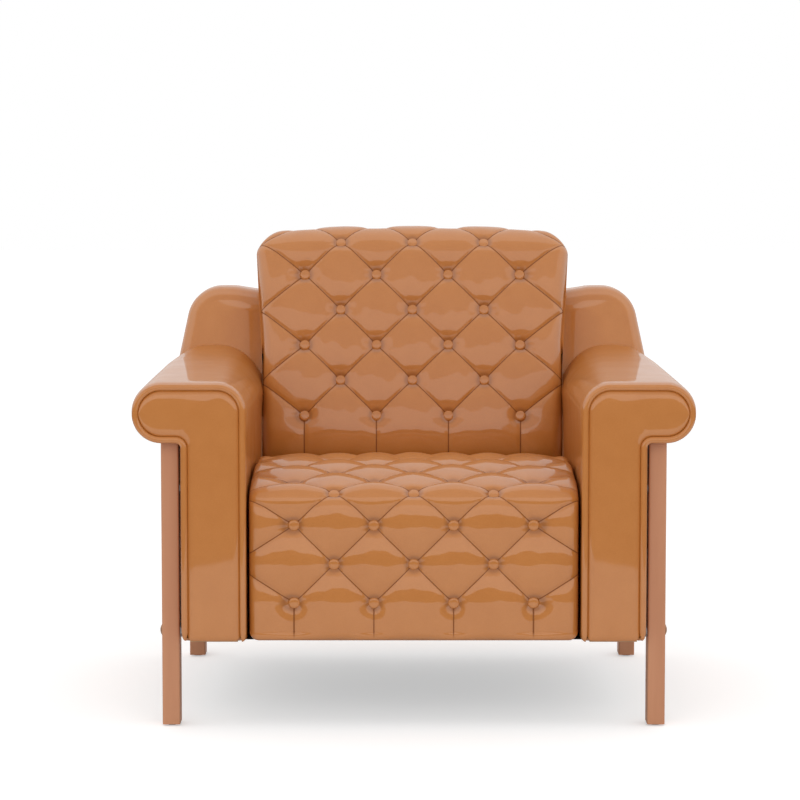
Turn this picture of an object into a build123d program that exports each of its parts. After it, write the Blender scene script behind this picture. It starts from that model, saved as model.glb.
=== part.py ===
from build123d import *
import os
from math import atan, cos, pi, radians, sin, sqrt, tan

# Tufted lounge armchair. Millimetres, +Z up, the front faces -Y, the floor is Z = 0.
# Three upholstered units, two arms and a back shell, are bolted round a buttoned seat,
# a buttoned back cushion stands in front of the shell, and four flat posts carry the arms.

# Whole chair
overall_width = 920.0
back_height = 803.0
shoulder_height = 688.0
arm_height = 570.0
underside_height = 144.0
back_rake = 15.0
fit = 0.3
round_sides = 8
bend_step = 15.0

# Arms
arm_thickness = 106.5
roll_overhang = 79.0
roll_thickness = 97.0
roll_flat = 2.0
roll_fillet = 8.0
arm_corner_radius = 47.0
arm_pad = 14.0
arm_sweep_start = 540.0
arm_sweep_rise = 13.0
arm_sweep_tuck = 16.0
welt_diameter = 11.0
facing_setback = 1.5
facing_edge_depth = 3.0
facing_edge_width = 6.0

# Arm frame
board_thickness = 18.0
panel_thickness = 4.0
arm_rail_height = 45.0
arm_post_width = 40.0
arm_post_depth = 45.0
roll_board_setback = 5.0

# Seat
seat_setback = 6.0
seat_depth = 542.0
seat_edge_height = 408.0
seat_edge_radius = 42.0
seat_front_slope = 10.0
seat_lift = 2.0
seat_side_gap = 4.0
seat_corner_radius = 13.0

# Back cushion
back_thickness = 106.0
back_edge_radius = 60.0
back_bottom_height = 250.0
back_flare = 5.0
back_corner_width = 28.0
back_side_gap = 1.0
cushion_gap = 3.0

# Back shell
shell_thickness = 93.0
shell_rear_rake = 10.0
shell_pad = 14.0
shell_edge_round = 24.0
shoulder_inset = 52.0
shoulder_flare = 71.0
shell_flare_radius = 45.0
shoulder_radius = 62.0

# Tufting: diamonds between rows of four and rows of three buttons
tuft_pitch = 131.0
seat_row_pitch = 64.3
seat_first_row = 61.5
seat_rows = 11
back_row_pitch = 65.5
back_first_row_height = 465.0
back_rows = 7
button_depth = 20.0
crease_depth = 11.0
pleat_depth = 8.0
pleat_half_width = 1.0
button_seat_half_width = 4.0
edge_drop = 14.0
edge_pleat = 6.0
cushion_crown = 10.0
panel_pad = 30.0
steps_per_row = 3
dome_steps = 4

# Buttons
button_diameter = 19.0
button_neck_diameter = 2.0
button_neck_length = 6.5
button_dome = 5.0
button_lift = 1.0

# Cushion sides, foam, suspension
border_thickness = 12.0
rear_panel_thickness = 10.0
foam_fit = 0.6
web_width = 60.0
back_web_first_height = 290.0
back_web_pitch = 100.0
web_thickness = 2.0
felt_thickness = 3.0
seat_long_webs = 5
seat_cross_webs = 4
back_webs = 4
web_end_margin = 2.0
dust_cover_thickness = 1.5
dust_cover_inset = 6.0

# Seat frame
rail_thickness = 28.0
rail_height = 100.0
rail_lift = 6.0
corner_block_leg = 60.0
corner_block_height = 40.0

# Back frame
side_board_thickness = 22.0
back_rail_thickness = 28.0
back_rail_height = 45.0
middle_rail_gap = 20.0

# Legs
leg_width = 29.0
leg_depth = 45.0
leg_gap = 5.0
leg_front_inset = 30.0
leg_rear_inset = 5.0
leg_edge_radius = 3.0
leg_top_gap = 1.0
glide_diameter = 22.0
glide_height = 3.0

# Fasteners
bolt_diameter = 8.0
bolt_clearance = 0.5
leg_bolt_height = 158.0
bolt_head_diameter = 22.0
bolt_head_height = 4.4
insert_diameter = 12.0
insert_length = 20.0
insert_fit = 0.1
screw_diameter = 5.0
screw_head_diameter = 10.0
screw_head_height = 3.0
screw_bite = 19.0
leg_screw_height = 395.0
spacer_diameter = 24.0
seat_bolt_head_diameter = 16.0
seat_bolt_head_height = 5.0
seat_bolt_height = 172.0
seat_bolt_margin = 30.0
back_bolt_diameter = 6.0
back_bolt_head_diameter = 12.0
back_bolt_head_height = 4.0
back_bolt_length = 85.0
barrel_diameter = 10.0
barrel_length = 16.0
barrel_depth = 50.0
dowel_diameter = 8.0
dowel_fit = 0.05
dowel_length = 40.0
dowel_spread = 44.0

# Places worked out from the driving dimensions. Depths are counted from the front of the chair.
half_gap = overall_width / 2 - roll_overhang - arm_thickness
post_outer = half_gap + arm_thickness
roll_underside = arm_height - roll_thickness
roll_radius = (roll_thickness - roll_flat) / 2
rake = radians(back_rake)
rear_rake = radians(shell_rear_rake)

seat_half_width = half_gap - seat_side_gap
seat_bottom = underside_height + seat_lift
front_turn = 90 - seat_front_slope
edge_run = seat_edge_radius * (1 - cos(radians(front_turn)))
edge_rise = seat_edge_radius * sin(radians(front_turn))
crown_radius = (seat_depth - edge_run) / (sin(radians(seat_front_slope)) + sin(rake))
seat_end_height = seat_edge_height + crown_radius * (cos(rake) - cos(radians(seat_front_slope)))
seat_end_depth = seat_setback + seat_depth

shell_top_height = shoulder_height - shell_edge_round * cos(rear_rake)
cushion_run = (cushion_gap + back_thickness + fit) / cos(rake)
shell_top_depth = seat_end_depth + cushion_run + (shell_top_height - seat_end_height) * tan(rake)
overall_depth = shell_top_depth + shell_thickness
front = -overall_depth / 2

cover_front = front + welt_diameter + fit
board_front = cover_front + fit
board_back = board_front + board_thickness + fit
sweep_start = front + arm_sweep_start


def seat_rear(height, clearance=0.0):
    """Depth of the raked plane that ends the seat, at a height, set forward by a clearance."""
    return front + seat_end_depth + (height - seat_end_height) * tan(rake) - clearance / cos(rake)


def shell_front(height, inside=0.0):
    """Depth of the raked front of the back shell, at a height, so far inside the shell."""
    start = front + shell_top_depth + (height - shell_top_height) * tan(rake)
    return start + inside / cos(rake)


def shell_rear(height, inside=0.0):
    """Depth of the raked rear of the back shell, at a height, so far inside the shell."""
    start = front + overall_depth + (height - shell_top_height) * tan(rear_rake)
    return start - inside / cos(rear_rake)


def save(piece, name):
    """Label a finished piece and write it as its own file."""
    piece.part.label = name
    export_step(piece.part, f"parts/{name}.step")


def ring(plane, radius):
    """Eight points round a plane's origin: cords, buttons and fasteners are kept this plain."""
    turns = [(index + 0.5) * 2 * pi / round_sides for index in range(round_sides)]
    return [plane.from_local_coords((radius * cos(turn), radius * sin(turn), 0)) for turn in turns]


def flats(plane, radius):
    """Eight-sided face on a plane, for a fastener or its hole."""
    return Face(Wire.make_polygon(ring(plane, radius)))


def cross_rod(radius, start, end, depth, height, mode=Mode.ADD):
    """Rod along X between two places."""
    plane = Plane(origin=(start, depth, height), x_dir=(0, 1, 0), z_dir=(1 if end > start else -1, 0, 0))
    extrude(flats(plane, radius), amount=abs(end - start), mode=mode)


def cross_cut(radius, start, end, depth, height):
    """Hole along X between two places."""
    cross_rod(radius, start, end, depth, height, Mode.SUBTRACT)


def block(start, end):
    """Add a square block between two opposite corners."""
    with Locations(*[tuple((a + b) / 2 for a, b in zip(start, end))]):
        Box(*[abs(b - a) for a, b in zip(start, end)])


def raked_frame(height, inside):
    """Plane square to the shell's raked front, looking out of it, at a height and so far inside."""
    origin = (0, shell_front(height) + inside * cos(rake), height - inside * sin(rake))
    return Plane(origin=origin, x_dir=(1, 0, 0), z_dir=(0, -cos(rake), sin(rake)))


# Places of the frame pieces and fasteners
leg_inner = post_outer + leg_gap
leg_outer = leg_inner + leg_width
leg_top = roll_underside - leg_top_gap
leg_depths = {"front": front + leg_front_inset + leg_depth / 2,
              "rear": shell_rear(underside_height) - leg_rear_inset - leg_depth / 2}
sides = {"left": -1, "right": 1}

wood_outer = post_outer - arm_pad - fit
wood_inner = half_gap + arm_pad + fit
arm_rail_bottom = underside_height + fit
arm_rail_top = arm_rail_bottom + arm_rail_height
top_board_top = arm_height - arm_pad - fit
top_board_bottom = top_board_top - board_thickness

side_board_outer = post_outer - shell_pad - fit
side_board_inner = side_board_outer - side_board_thickness
shell_cavity_top = shoulder_height - shell_edge_round - shell_pad
web_front = shell_pad + fit
back_wood_front = web_front + web_thickness + fit
back_bolt_heights = (back_web_first_height - back_web_pitch / 2,
                     back_web_first_height + 3 * back_web_pitch / 2)
back_bolt_across = (side_board_outer + side_board_inner) / 2

seat_core_front = front + seat_setback + panel_pad + foam_fit
seat_core_half = seat_half_width - border_thickness - fit
rail_bottom = seat_bottom + rail_lift
rail_top = rail_bottom + rail_height
front_rail_back = seat_core_front + rail_thickness
rear_rail_back = seat_rear(rail_bottom, fit)
rear_rail_front = rear_rail_back - rail_thickness
side_rail_inner = seat_core_half - rail_thickness
felt_bottom = rail_top + 2 * web_thickness
felt_top = felt_bottom + felt_thickness
seat_bolt_depths = (front_rail_back + corner_block_leg + seat_bolt_margin,
                    rear_rail_front - corner_block_leg - seat_bolt_margin)
dowel_heights = ((rail_bottom + rail_top - dowel_spread) / 2, (rail_bottom + rail_top + dowel_spread) / 2)
dowel_across = seat_core_half - rail_thickness / 2

screw_start = {"front": wood_outer - arm_post_width, "rear": side_board_inner}
insert_end = wood_outer - insert_length
seat_insert_end = wood_inner + insert_length
bolt_tip = insert_end - bolt_clearance
bolt_hole = (bolt_diameter + bolt_clearance) / 2
screw_hole = (screw_diameter + bolt_clearance) / 2
back_bolt_hole = (back_bolt_diameter + bolt_clearance) / 2
insert_hole = (insert_diameter + insert_fit) / 2
barrel_hole = (barrel_diameter + insert_fit) / 2
barrel_end = side_board_inner + bolt_clearance + barrel_length
dowel_hole = dowel_diameter / 2 + dowel_fit


def raked_rod(radius, across, height, start, end, mode=Mode.ADD):
    """Rod square to the shell's raked front, between two depths inside the shell."""
    frame = raked_frame(height, start)
    inwards = Plane(origin=frame.from_local_coords((across, 0, 0)), x_dir=(1, 0, 0), z_dir=-frame.z_dir)
    extrude(flats(inwards, radius), amount=end - start, mode=mode)


def faceted(rings):
    """Solid with two flat facets between each pair of neighbours in a row of point rings."""
    faces = [Face(Wire.make_polygon(rings[0])), Face(Wire.make_polygon(rings[-1]))]
    for first, second in zip(rings, rings[1:]):
        for index in range(len(first)):
            a, b, c, d = first[index - 1], first[index], second[index], second[index - 1]
            if (c - a).length < (d - b).length:
                halves = ([a, b, c], [a, c, d])
            else:
                halves = ([a, b, d], [b, c, d])
            faces += [Face(Wire.make_polygon(half)) for half in halves]
    return Solid(Shell(faces))


def stations_along(wire):
    """Places and directions along a chain of lines and arcs, close enough for a smooth bend."""
    stations = []
    for edge in wire.order_edges():
        turn = edge.tangent_at(0).get_angle(edge.tangent_at(1))
        steps = max(round(turn / bend_step), 1)
        first = 1 if stations else 0
        stations += [(edge @ (step / steps), edge % (step / steps)) for step in range(first, steps + 1)]
    return stations


# Tufted panels
def tuft_section(share, taper, width):
    """Half outline of a tufted panel, from its middle to its edge, as crease points and crests.

    share runs from 0 at a row of four buttons to 1 at a row of three, and taper from 0 at the
    first or last row to 1 at the panel's end, where the creases run out as straight pleats.
    """
    seat = button_seat_half_width + (pleat_half_width - button_seat_half_width) * taper
    four = [tuft_pitch / 2 - seat, tuft_pitch / 2 + seat, 1.5 * tuft_pitch - seat, 1.5 * tuft_pitch + seat]
    three = [seat, tuft_pitch - seat, tuft_pitch + seat, width - edge_pleat]
    places = [a + (b - a) * share for a, b in zip(four, three)]
    row_depth = button_depth + (pleat_depth - button_depth) * taper
    valley = crease_depth + (row_depth - crease_depth) * (2 * share - 1) ** 2
    depths = [valley, valley, valley, row_depth + (edge_drop + pleat_half_width - row_depth) * share]
    crest_four = row_depth * share ** 2
    crest_three = row_depth * (1 - share) ** 2
    crests = [crest_four, crest_three, crest_four, crest_three]
    creases = list(zip(places, depths)) + [(width, edge_drop)]
    side_crest = (creases[3][1] + edge_drop) / 2 * (0.5 + share / 2)
    return creases, crests + [side_crest]


def tuft_ring(plane, share, taper, width):
    """Closed ring of points round a tufted panel's section: its plain inside and its row of domes."""
    creases, crests = tuft_section(share, taper, width)

    def lowered(place, depth):
        return (place, -depth - cushion_crown * (place / width) ** 2)

    right = [lowered(*crease) for crease in creases]
    left = [(-place, height) for place, height in reversed(right)]
    points = left + right
    tops = crests[:0:-1] + crests
    ring = [(width, -panel_pad), (-width, -panel_pad)]
    for start, end, crest in zip(points, points[1:], tops):
        middle = lowered((start[0] + end[0]) / 2, crest)[1]
        swell = max(middle - (start[1] + end[1]) / 2, 0)
        for step in range(dome_steps):
            part = step / dome_steps
            level = start[1] + (end[1] - start[1]) * part
            ring.append((start[0] + (end[0] - start[0]) * part, level + swell * 4 * part * (1 - part)))
    ring.append(points[-1])
    return [plane.from_local_coords((across, height, 0)) for across, height in ring]


def tuft_stations(first_row, row_pitch, rows, length):
    """Places along a panel's profile with the share and taper of the section there."""
    stations = []
    for step in range(steps_per_row):
        taper = 1 - step / steps_per_row
        stations.append((first_row * (1 - taper), 0.0, taper))
    for step in range((rows - 1) * steps_per_row + 1):
        row = step / steps_per_row
        share = 1 - abs(1 - row % 2)
        stations.append((first_row + row * row_pitch, share, 0.0))
    last_row = first_row + (rows - 1) * row_pitch
    for step in range(1, steps_per_row + 1):
        taper = step / steps_per_row
        stations.append((last_row + (length - last_row) * taper, 0.0, taper))
    return stations


def profile_plane(profile, place):
    """Plane across a panel's profile: X along the chair's width, Y out of the cushion."""
    spot = profile.position_at(place, position_mode=PositionMode.LENGTH)
    along = profile.tangent_at(place, position_mode=PositionMode.LENGTH)
    return Plane(origin=spot, x_dir=(1, 0, 0), z_dir=-along)


def button_places(profile, first_row, row_pitch, rows):
    """Locations of a panel's buttons, seated in the dimples, facing out of the cushion."""
    places = []
    for row in range(rows):
        count = 4 - row % 2
        section = profile_plane(profile, first_row + row * row_pitch)
        for index in range(count):
            across = (index - (count - 1) / 2) * tuft_pitch
            depth = button_depth - button_lift + cushion_crown * (across / seat_half_width) ** 2
            spot = section.from_local_coords((across, -depth, 0))
            places.append(Plane(origin=spot, x_dir=(1, 0, 0), z_dir=section.y_dir).location)
    return places


# The seat's profile: up the front, over the rounded edge and back along the crowned top
seat_edge_start = seat_edge_height - edge_rise
with BuildLine(Plane.YZ) as seat_line:
    rise = Line((front + seat_setback, seat_bottom), (front + seat_setback, seat_edge_start))
    turn = JernArc(rise @ 1, (0, 1), seat_edge_radius, -front_turn)
    JernArc(turn @ 1, turn % 1, crown_radius, -(seat_front_slope + back_rake))
seat_profile = seat_line.wire()

# The back cushion's profile: up the raked front, over the top edge and across the top
back_edge_start = back_height - back_edge_radius * (1 - sin(rake))
back_start = (seat_rear(back_bottom_height, -cushion_gap), back_bottom_height)
back_turn = (seat_rear(back_edge_start, -cushion_gap), back_edge_start)
with BuildLine(Plane.YZ) as back_line:
    face = Line(back_start, back_turn)
    over = JernArc(face @ 1, face % 1, back_edge_radius, -90)
    Line(over @ 1, over @ 1 + (over % 1) * (back_thickness - back_edge_radius))
back_profile = back_line.wire()
back_face_length = face.length
back_first_row = (back_first_row_height - back_bottom_height) / cos(rake)


def seat_width_at(place):
    """Half width of the seat panel, drawn in round its lower corners."""
    left = max(seat_corner_radius - place, 0)
    return seat_half_width - seat_corner_radius + sqrt(seat_corner_radius ** 2 - left ** 2)


arm_top = arm_height + arm_sweep_rise
back_flare_length = (back_edge_start - arm_top) / cos(rake)


def back_width_at(place):
    """Half width of the back panel: clear of the arms, wider above, drawn in round the top corners."""
    above_arm = min(place, back_face_length) - (back_face_length - back_flare_length)
    over_edge = min(max(place - back_face_length, 0) / back_edge_radius, pi / 2)
    corner = back_corner_width * (1 - cos(over_edge))
    return half_gap - back_side_gap + back_flare * above_arm / back_flare_length - corner


os.makedirs("parts", exist_ok=True)

# Tufted seat panel, front and top in one piece
with BuildPart() as seat_cover:
    stations = tuft_stations(seat_first_row, seat_row_pitch, seat_rows, seat_profile.length)
    corner = [(seat_corner_radius / 3, 0.0, 1 - seat_corner_radius / 3 / seat_first_row)]
    add(faceted([tuft_ring(profile_plane(seat_profile, place), share, taper, seat_width_at(place))
                 for place, share, taper in sorted(stations + corner)]))
save(seat_cover, "seat_cover")

# Tufted back panel, front and top in one piece
with BuildPart() as back_cushion_cover:
    stations = tuft_stations(back_first_row, back_row_pitch, back_rows, back_profile.length)
    add(faceted([tuft_ring(profile_plane(back_profile, place), share, taper, back_width_at(place))
                 for place, share, taper in stations]))
save(back_cushion_cover, "back_cushion_cover")

# One upholstery button: a tapered neck that stands in the dimple, a full edge and a low dome
with BuildPart() as button:
    levels = [(0, button_neck_diameter), (button_neck_length, button_diameter),
              (button_neck_length + button_dome, button_diameter - 2 * button_dome)]
    add(faceted([ring(Plane.XY.offset(height), diameter / 2) for height, diameter in levels]))

with BuildPart() as seat_buttons:
    with Locations(*button_places(seat_profile, seat_first_row, seat_row_pitch, seat_rows)):
        add(button.part)
save(seat_buttons, "seat_buttons")

with BuildPart() as back_buttons:
    with Locations(*button_places(back_profile, back_first_row, back_row_pitch, back_rows)):
        add(button.part)
save(back_buttons, "back_buttons")


# Seat: side borders, foam, felt, webbing and frame
def seat_core(bottom):
    """Edges of the space under the seat panel, seen from the side, down to a height."""
    inset = panel_pad + foam_fit
    with BuildLine() as outline:
        up = Line((seat_core_front, bottom), (seat_core_front, seat_edge_start))
        turn = JernArc(up @ 1, (0, 1), seat_edge_radius - inset, -front_turn)
        top = JernArc(turn @ 1, turn % 1, crown_radius - inset, -(seat_front_slope + back_rake))
        Polyline(top @ 1, (seat_rear(bottom), bottom), up @ 0)
    return outline.edges()


with BuildPart() as seat_side_borders:
    with BuildSketch(Plane.YZ.offset(seat_half_width)):
        make_face(seat_core(seat_bottom))
    extrude(amount=-border_thickness)
    for depth in seat_bolt_depths:
        cross_cut(bolt_hole, seat_core_half, half_gap, depth, seat_bolt_height)
    mirror(about=Plane.YZ)
save(seat_side_borders, "seat_side_borders")

with BuildPart() as seat_foam:
    with BuildSketch(Plane.YZ):
        make_face(seat_core(felt_top))
    extrude(amount=seat_core_half, both=True)
save(seat_foam, "seat_foam")

with BuildPart() as seat_felt:
    block((-seat_core_half, seat_core_front, felt_bottom),
          (seat_core_half, seat_rear(felt_bottom, fit), felt_top))
save(seat_felt, "seat_felt")

with BuildPart() as seat_webbing:
    long_start = seat_core_front + web_end_margin
    long_end = rear_rail_back - web_end_margin
    cross_half = seat_core_half - web_end_margin
    for index in range(seat_long_webs):
        across = ((index + 1) / (seat_long_webs + 1) - 0.5) * 2 * side_rail_inner
        block((across - web_width / 2, long_start, rail_top),
              (across + web_width / 2, long_end, rail_top + web_thickness))
    for index in range(seat_cross_webs):
        along = front_rail_back + (rear_rail_front - front_rail_back) * (index + 0.5) / seat_cross_webs
        block((-cross_half, along - web_width / 2, rail_top + web_thickness),
              (cross_half, along + web_width / 2, felt_bottom))
save(seat_webbing, "seat_webbing")


def joint_dowels(depth, start, end, radius, mode):
    """Rods along Y across a corner joint of the seat frame, on both sides."""
    for across in (-dowel_across, dowel_across):
        for height in dowel_heights:
            plane = Plane(origin=(across, depth + start, height), x_dir=(1, 0, 0), z_dir=(0, 1, 0))
            extrude(flats(plane, radius), amount=end - start, mode=mode)


dowel_reach = dowel_length / 2 + dowel_fit
with BuildPart() as seat_front_rail:
    block((-seat_core_half, seat_core_front, rail_bottom), (seat_core_half, front_rail_back, rail_top))
    joint_dowels(front_rail_back, -dowel_reach, 0, dowel_hole, Mode.SUBTRACT)
save(seat_front_rail, "seat_front_rail")

with BuildPart() as seat_rear_rail:
    block((-seat_core_half, rear_rail_front, rail_bottom), (seat_core_half, rear_rail_back, rail_top))
    joint_dowels(rear_rail_front, 0, dowel_reach, dowel_hole, Mode.SUBTRACT)
save(seat_rear_rail, "seat_rear_rail")

for name, side in sides.items():
    with BuildPart() as seat_side_rail:
        block((side * side_rail_inner, front_rail_back, rail_bottom),
              (side * seat_core_half, rear_rail_front, rail_top))
        joint_dowels(front_rail_back, 0, dowel_reach, dowel_hole, Mode.SUBTRACT)
        joint_dowels(rear_rail_front, -dowel_reach, 0, dowel_hole, Mode.SUBTRACT)
        for depth in seat_bolt_depths:
            cross_cut(bolt_hole, side * side_rail_inner, side * seat_core_half, depth, seat_bolt_height)
    save(seat_side_rail, f"seat_{name}_rail")

with BuildPart() as frame_dowels:
    joint_dowels(front_rail_back, -dowel_length / 2, dowel_length / 2, dowel_diameter / 2, Mode.ADD)
    joint_dowels(rear_rail_front, -dowel_length / 2, dowel_length / 2, dowel_diameter / 2, Mode.ADD)
save(frame_dowels, "frame_dowels")

with BuildPart() as seat_corner_blocks:
    for corner_depth, reach in ((front_rail_back, corner_block_leg), (rear_rail_front, -corner_block_leg)):
        with BuildSketch(Plane.XY.offset(rail_bottom)):
            with BuildLine():
                Polyline((side_rail_inner, corner_depth), (side_rail_inner - corner_block_leg, corner_depth),
                         (side_rail_inner, corner_depth + reach), close=True)
            make_face()
        extrude(amount=corner_block_height)
    mirror(about=Plane.YZ)
save(seat_corner_blocks, "seat_corner_blocks")


# Back cushion: side borders, rear panel and foam
def back_core(rear_inset):
    """Edges of the space inside the back panel, seen from the side, up to its rear panel."""
    inset = panel_pad + foam_fit
    inward = Vector(cos(rake), -sin(rake))
    upward = Vector(sin(rake), cos(rake))
    start = Vector(*back_start) + inward * inset
    with BuildLine() as outline:
        up = Line(start, start + upward * back_face_length)
        turn = JernArc(up @ 1, upward, back_edge_radius - inset, -90)
        top = Line(turn @ 1, turn @ 1 + inward * (back_thickness - rear_inset - back_edge_radius))
        Polyline(top @ 1, start + inward * (back_thickness - rear_inset - inset), start)
    return outline.edges()


side_tilt = atan(back_flare / (back_edge_start - arm_top))
border_base = half_gap - back_side_gap - arm_top * tan(side_tilt)
border_plane = Plane(origin=(border_base, 0, 0), x_dir=(0, 1, 0), z_dir=(cos(side_tilt), 0, -sin(side_tilt)))
with BuildPart() as back_side_borders:
    with BuildSketch(border_plane):
        make_face(back_core(rear_panel_thickness + foam_fit))
    extrude(amount=-border_thickness)
    mirror(about=Plane.YZ)
save(back_side_borders, "back_side_borders")

rear_panel_height = back_face_length + back_edge_radius - panel_pad - foam_fit
rear_panel_depth = back_start[0] + back_thickness * cos(rake)
rear_panel_bottom = back_start[1] - back_thickness * sin(rake)
rear_panel_origin = (0, rear_panel_depth, rear_panel_bottom)
with BuildPart() as back_rear_panel:
    with BuildSketch(Plane(origin=rear_panel_origin, x_dir=(1, 0, 0), z_dir=(0, -cos(rake), sin(rake)))):
        with BuildLine():
            low_half, high_half = back_width_at(0), back_width_at(rear_panel_height)
            Polyline((-low_half, 0), (low_half, 0), (high_half, rear_panel_height),
                     (-high_half, rear_panel_height), close=True)
        make_face()
    extrude(amount=rear_panel_thickness)
save(back_rear_panel, "back_rear_panel")

with BuildPart() as back_cushion_foam:
    with BuildSketch(Plane.YZ):
        make_face(back_core(rear_panel_thickness + foam_fit))
    lowest_half = border_base + rear_panel_bottom * tan(side_tilt)
    extrude(amount=lowest_half - border_thickness - foam_fit, both=True)
save(back_cushion_foam, "back_cushion_foam")


# Arms
def arm_outline(side, inset, base, rise=0.0, tuck=0.0):
    """Path up the inside of an arm, over its rolled top and down the outside, open at the bottom."""
    inner = side * (half_gap + inset)
    outer = side * (post_outer - inset)
    roll_end = side * (overall_width / 2 - tuck - inset)
    top = arm_height + rise - inset
    under = roll_underside + inset
    roll = roll_radius - inset
    return FilletPolyline((inner, base), (inner, top), (roll_end, top), (roll_end, under), (outer, under),
                          (outer, base), radius=[arm_corner_radius - inset, roll, roll, roll_fillet + inset])


def leg_fastener_holes(side, place):
    """Cut the holes of one leg's bolt and upper screw through the padding beside it."""
    start, end = side * (wood_outer - fit), side * leg_inner
    cross_cut(bolt_hole, start, end, leg_depths[place], leg_bolt_height)
    cross_cut(screw_hole, start, end, leg_depths[place], leg_screw_height)


def insert_pocket(side, place):
    """Cut the pocket of one leg's insert nut, with room for the bolt's tip behind it."""
    depth, hole_end = leg_depths[place], bolt_tip - bolt_clearance
    cross_cut(insert_hole, side * insert_end, side * wood_outer, depth, leg_bolt_height)
    cross_cut(bolt_hole, side * hole_end, side * insert_end, depth, leg_bolt_height)


sweep_end = shell_front(arm_top) + fit
sweep_length = sweep_end - sweep_start
sweep_shares = (0, 1 / 3, 2 / 3, 1)
arm_stations = [(sweep_start + sweep_length * share, share ** 2) for share in sweep_shares]
arm_stations.insert(0, (cover_front, 0.0))
shell_face = raked_frame(underside_height, 0)
rear_board_front = -2 * fit - board_thickness

for name, side in sides.items():
    # Sewn cover with its wadding, hollow over the frame and open below
    with BuildPart() as arm_cover:
        sections = []
        for depth, share in arm_stations:
            with BuildLine(Plane.XZ.offset(-depth), mode=Mode.PRIVATE) as section:
                arm_outline(side, 0, underside_height, arm_sweep_rise * share, arm_sweep_tuck * share)
            sections.append([spot for spot, along in stations_along(section.wire())])
        add(faceted(sections))
        split(bisect_by=shell_face.offset(fit), keep=Keep.TOP)
        with BuildSketch(Plane.XZ.offset(-cover_front)):
            with BuildLine():
                inner, outer = side * (half_gap + arm_pad), side * (post_outer - arm_pad)
                top, base = arm_height - arm_pad, underside_height - arm_pad
                FilletPolyline((inner, base), (inner, top), (outer, top), (outer, base), close=True,
                               radius=[0, arm_corner_radius - arm_pad, 0, 0])
            make_face()
        extrude(amount=cover_front - sweep_end, mode=Mode.SUBTRACT)
        with BuildSketch(Plane.XZ.offset(-cover_front)):
            with BuildLine():
                middle, roll_end = side * (post_outer - arm_pad - fit), side * (overall_width / 2 - arm_pad)
                under = roll_underside + arm_pad
                FilletPolyline((middle, under), (roll_end, under), (roll_end, top), (middle, top), close=True,
                               radius=[0, roll_radius - arm_pad, roll_radius - arm_pad, 0])
            make_face()
        extrude(amount=cover_front - sweep_start, mode=Mode.SUBTRACT)
        leg_fastener_holes(side, "front")
        for depth in seat_bolt_depths:
            cross_cut(bolt_hole, side * half_gap, side * wood_inner, depth, seat_bolt_height)
    save(arm_cover, f"{name}_arm_cover")

    # Padded panel on the arm's front, inside the welt
    with BuildPart() as arm_facing:
        with BuildSketch(Plane.XZ.offset(-front - facing_setback)):
            with BuildLine():
                path = arm_outline(side, welt_diameter + fit, underside_height)
                Line(path @ 1, path @ 0)
            make_face()
        extrude(amount=facing_setback - welt_diameter)
        chamfer(arm_facing.faces().sort_by(Axis.Y)[0].edges(), facing_edge_depth, facing_edge_width)
    save(arm_facing, f"{name}_arm_facing")

    # Fat piping round the facing
    with BuildPart() as arm_welt:
        with BuildLine(Plane.XZ.offset(-front - welt_diameter / 2), mode=Mode.PRIVATE) as welt_line:
            arm_outline(side, welt_diameter / 2, underside_height)
        cord = [Plane(origin=spot, x_dir=(0, 1, 0), z_dir=along)
                for spot, along in stations_along(welt_line.wire())]
        add(faceted([ring(plane, welt_diameter / 2) for plane in cord]))
    save(arm_welt, f"{name}_arm_welt")

    # Frame: shaped front board, post, rails and boards
    with BuildPart() as arm_front_board:
        with BuildSketch(Plane.XZ.offset(-board_front)):
            with BuildLine():
                inner, outer, base = side * wood_inner, side * wood_outer, arm_rail_bottom
                top, under = top_board_top, roll_underside + arm_pad + fit
                roll_end = side * (overall_width / 2 - arm_pad - fit)
                corner, roll = arm_corner_radius - arm_pad - fit, roll_radius - arm_pad - fit
                FilletPolyline((inner, base), (inner, top), (roll_end, top), (roll_end, under),
                               (outer, under), (outer, base), close=True,
                               radius=[0, corner, roll, roll, 0, 0])
            make_face()
        extrude(amount=-board_thickness)
    save(arm_front_board, f"{name}_arm_front_board")

    with BuildPart() as arm_front_post:
        block((side * (wood_outer - arm_post_width), board_back, arm_rail_top + fit),
              (side * wood_outer, board_back + arm_post_depth, top_board_bottom - fit))
        screw_from, screw_depth = screw_start["front"], leg_depths["front"]
        cross_cut(screw_hole, side * screw_from, side * wood_outer, screw_depth, leg_screw_height)
    save(arm_front_post, f"{name}_arm_front_post")

    with BuildPart() as arm_bottom_rail:
        with BuildSketch(Plane.YZ.offset(side * wood_inner)):
            with BuildLine():
                Polyline((board_back, arm_rail_bottom), (board_back, arm_rail_top),
                         (shell_front(arm_rail_top, -2 * fit), arm_rail_top),
                         (shell_front(arm_rail_bottom, -2 * fit), arm_rail_bottom), close=True)
            make_face()
        extrude(amount=side * (wood_outer - wood_inner))
        insert_pocket(side, "front")
        for depth in seat_bolt_depths:
            cross_cut(insert_hole, side * wood_inner, side * seat_insert_end, depth, seat_bolt_height)
            cross_cut(bolt_hole, side * seat_insert_end, side * (seat_insert_end + 2 * bolt_clearance), depth,
                      seat_bolt_height)
    save(arm_bottom_rail, f"{name}_arm_bottom_rail")

    with BuildPart() as arm_rear_board:
        low, high = arm_rail_top + fit, arm_height - arm_corner_radius
        with BuildSketch(Plane.YZ.offset(side * wood_inner)):
            with BuildLine():
                Polyline((shell_front(low, rear_board_front), low), (shell_front(low, -2 * fit), low),
                         (shell_front(high, -2 * fit), high), (shell_front(high, rear_board_front), high),
                         close=True)
            make_face()
        extrude(amount=side * (wood_outer - wood_inner))
        across = side * back_bolt_across
        for height in back_bolt_heights:
            raked_rod(back_bolt_hole, across, height, rear_board_front - fit, 0, Mode.SUBTRACT)
    save(arm_rear_board, f"{name}_arm_rear_board")

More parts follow.
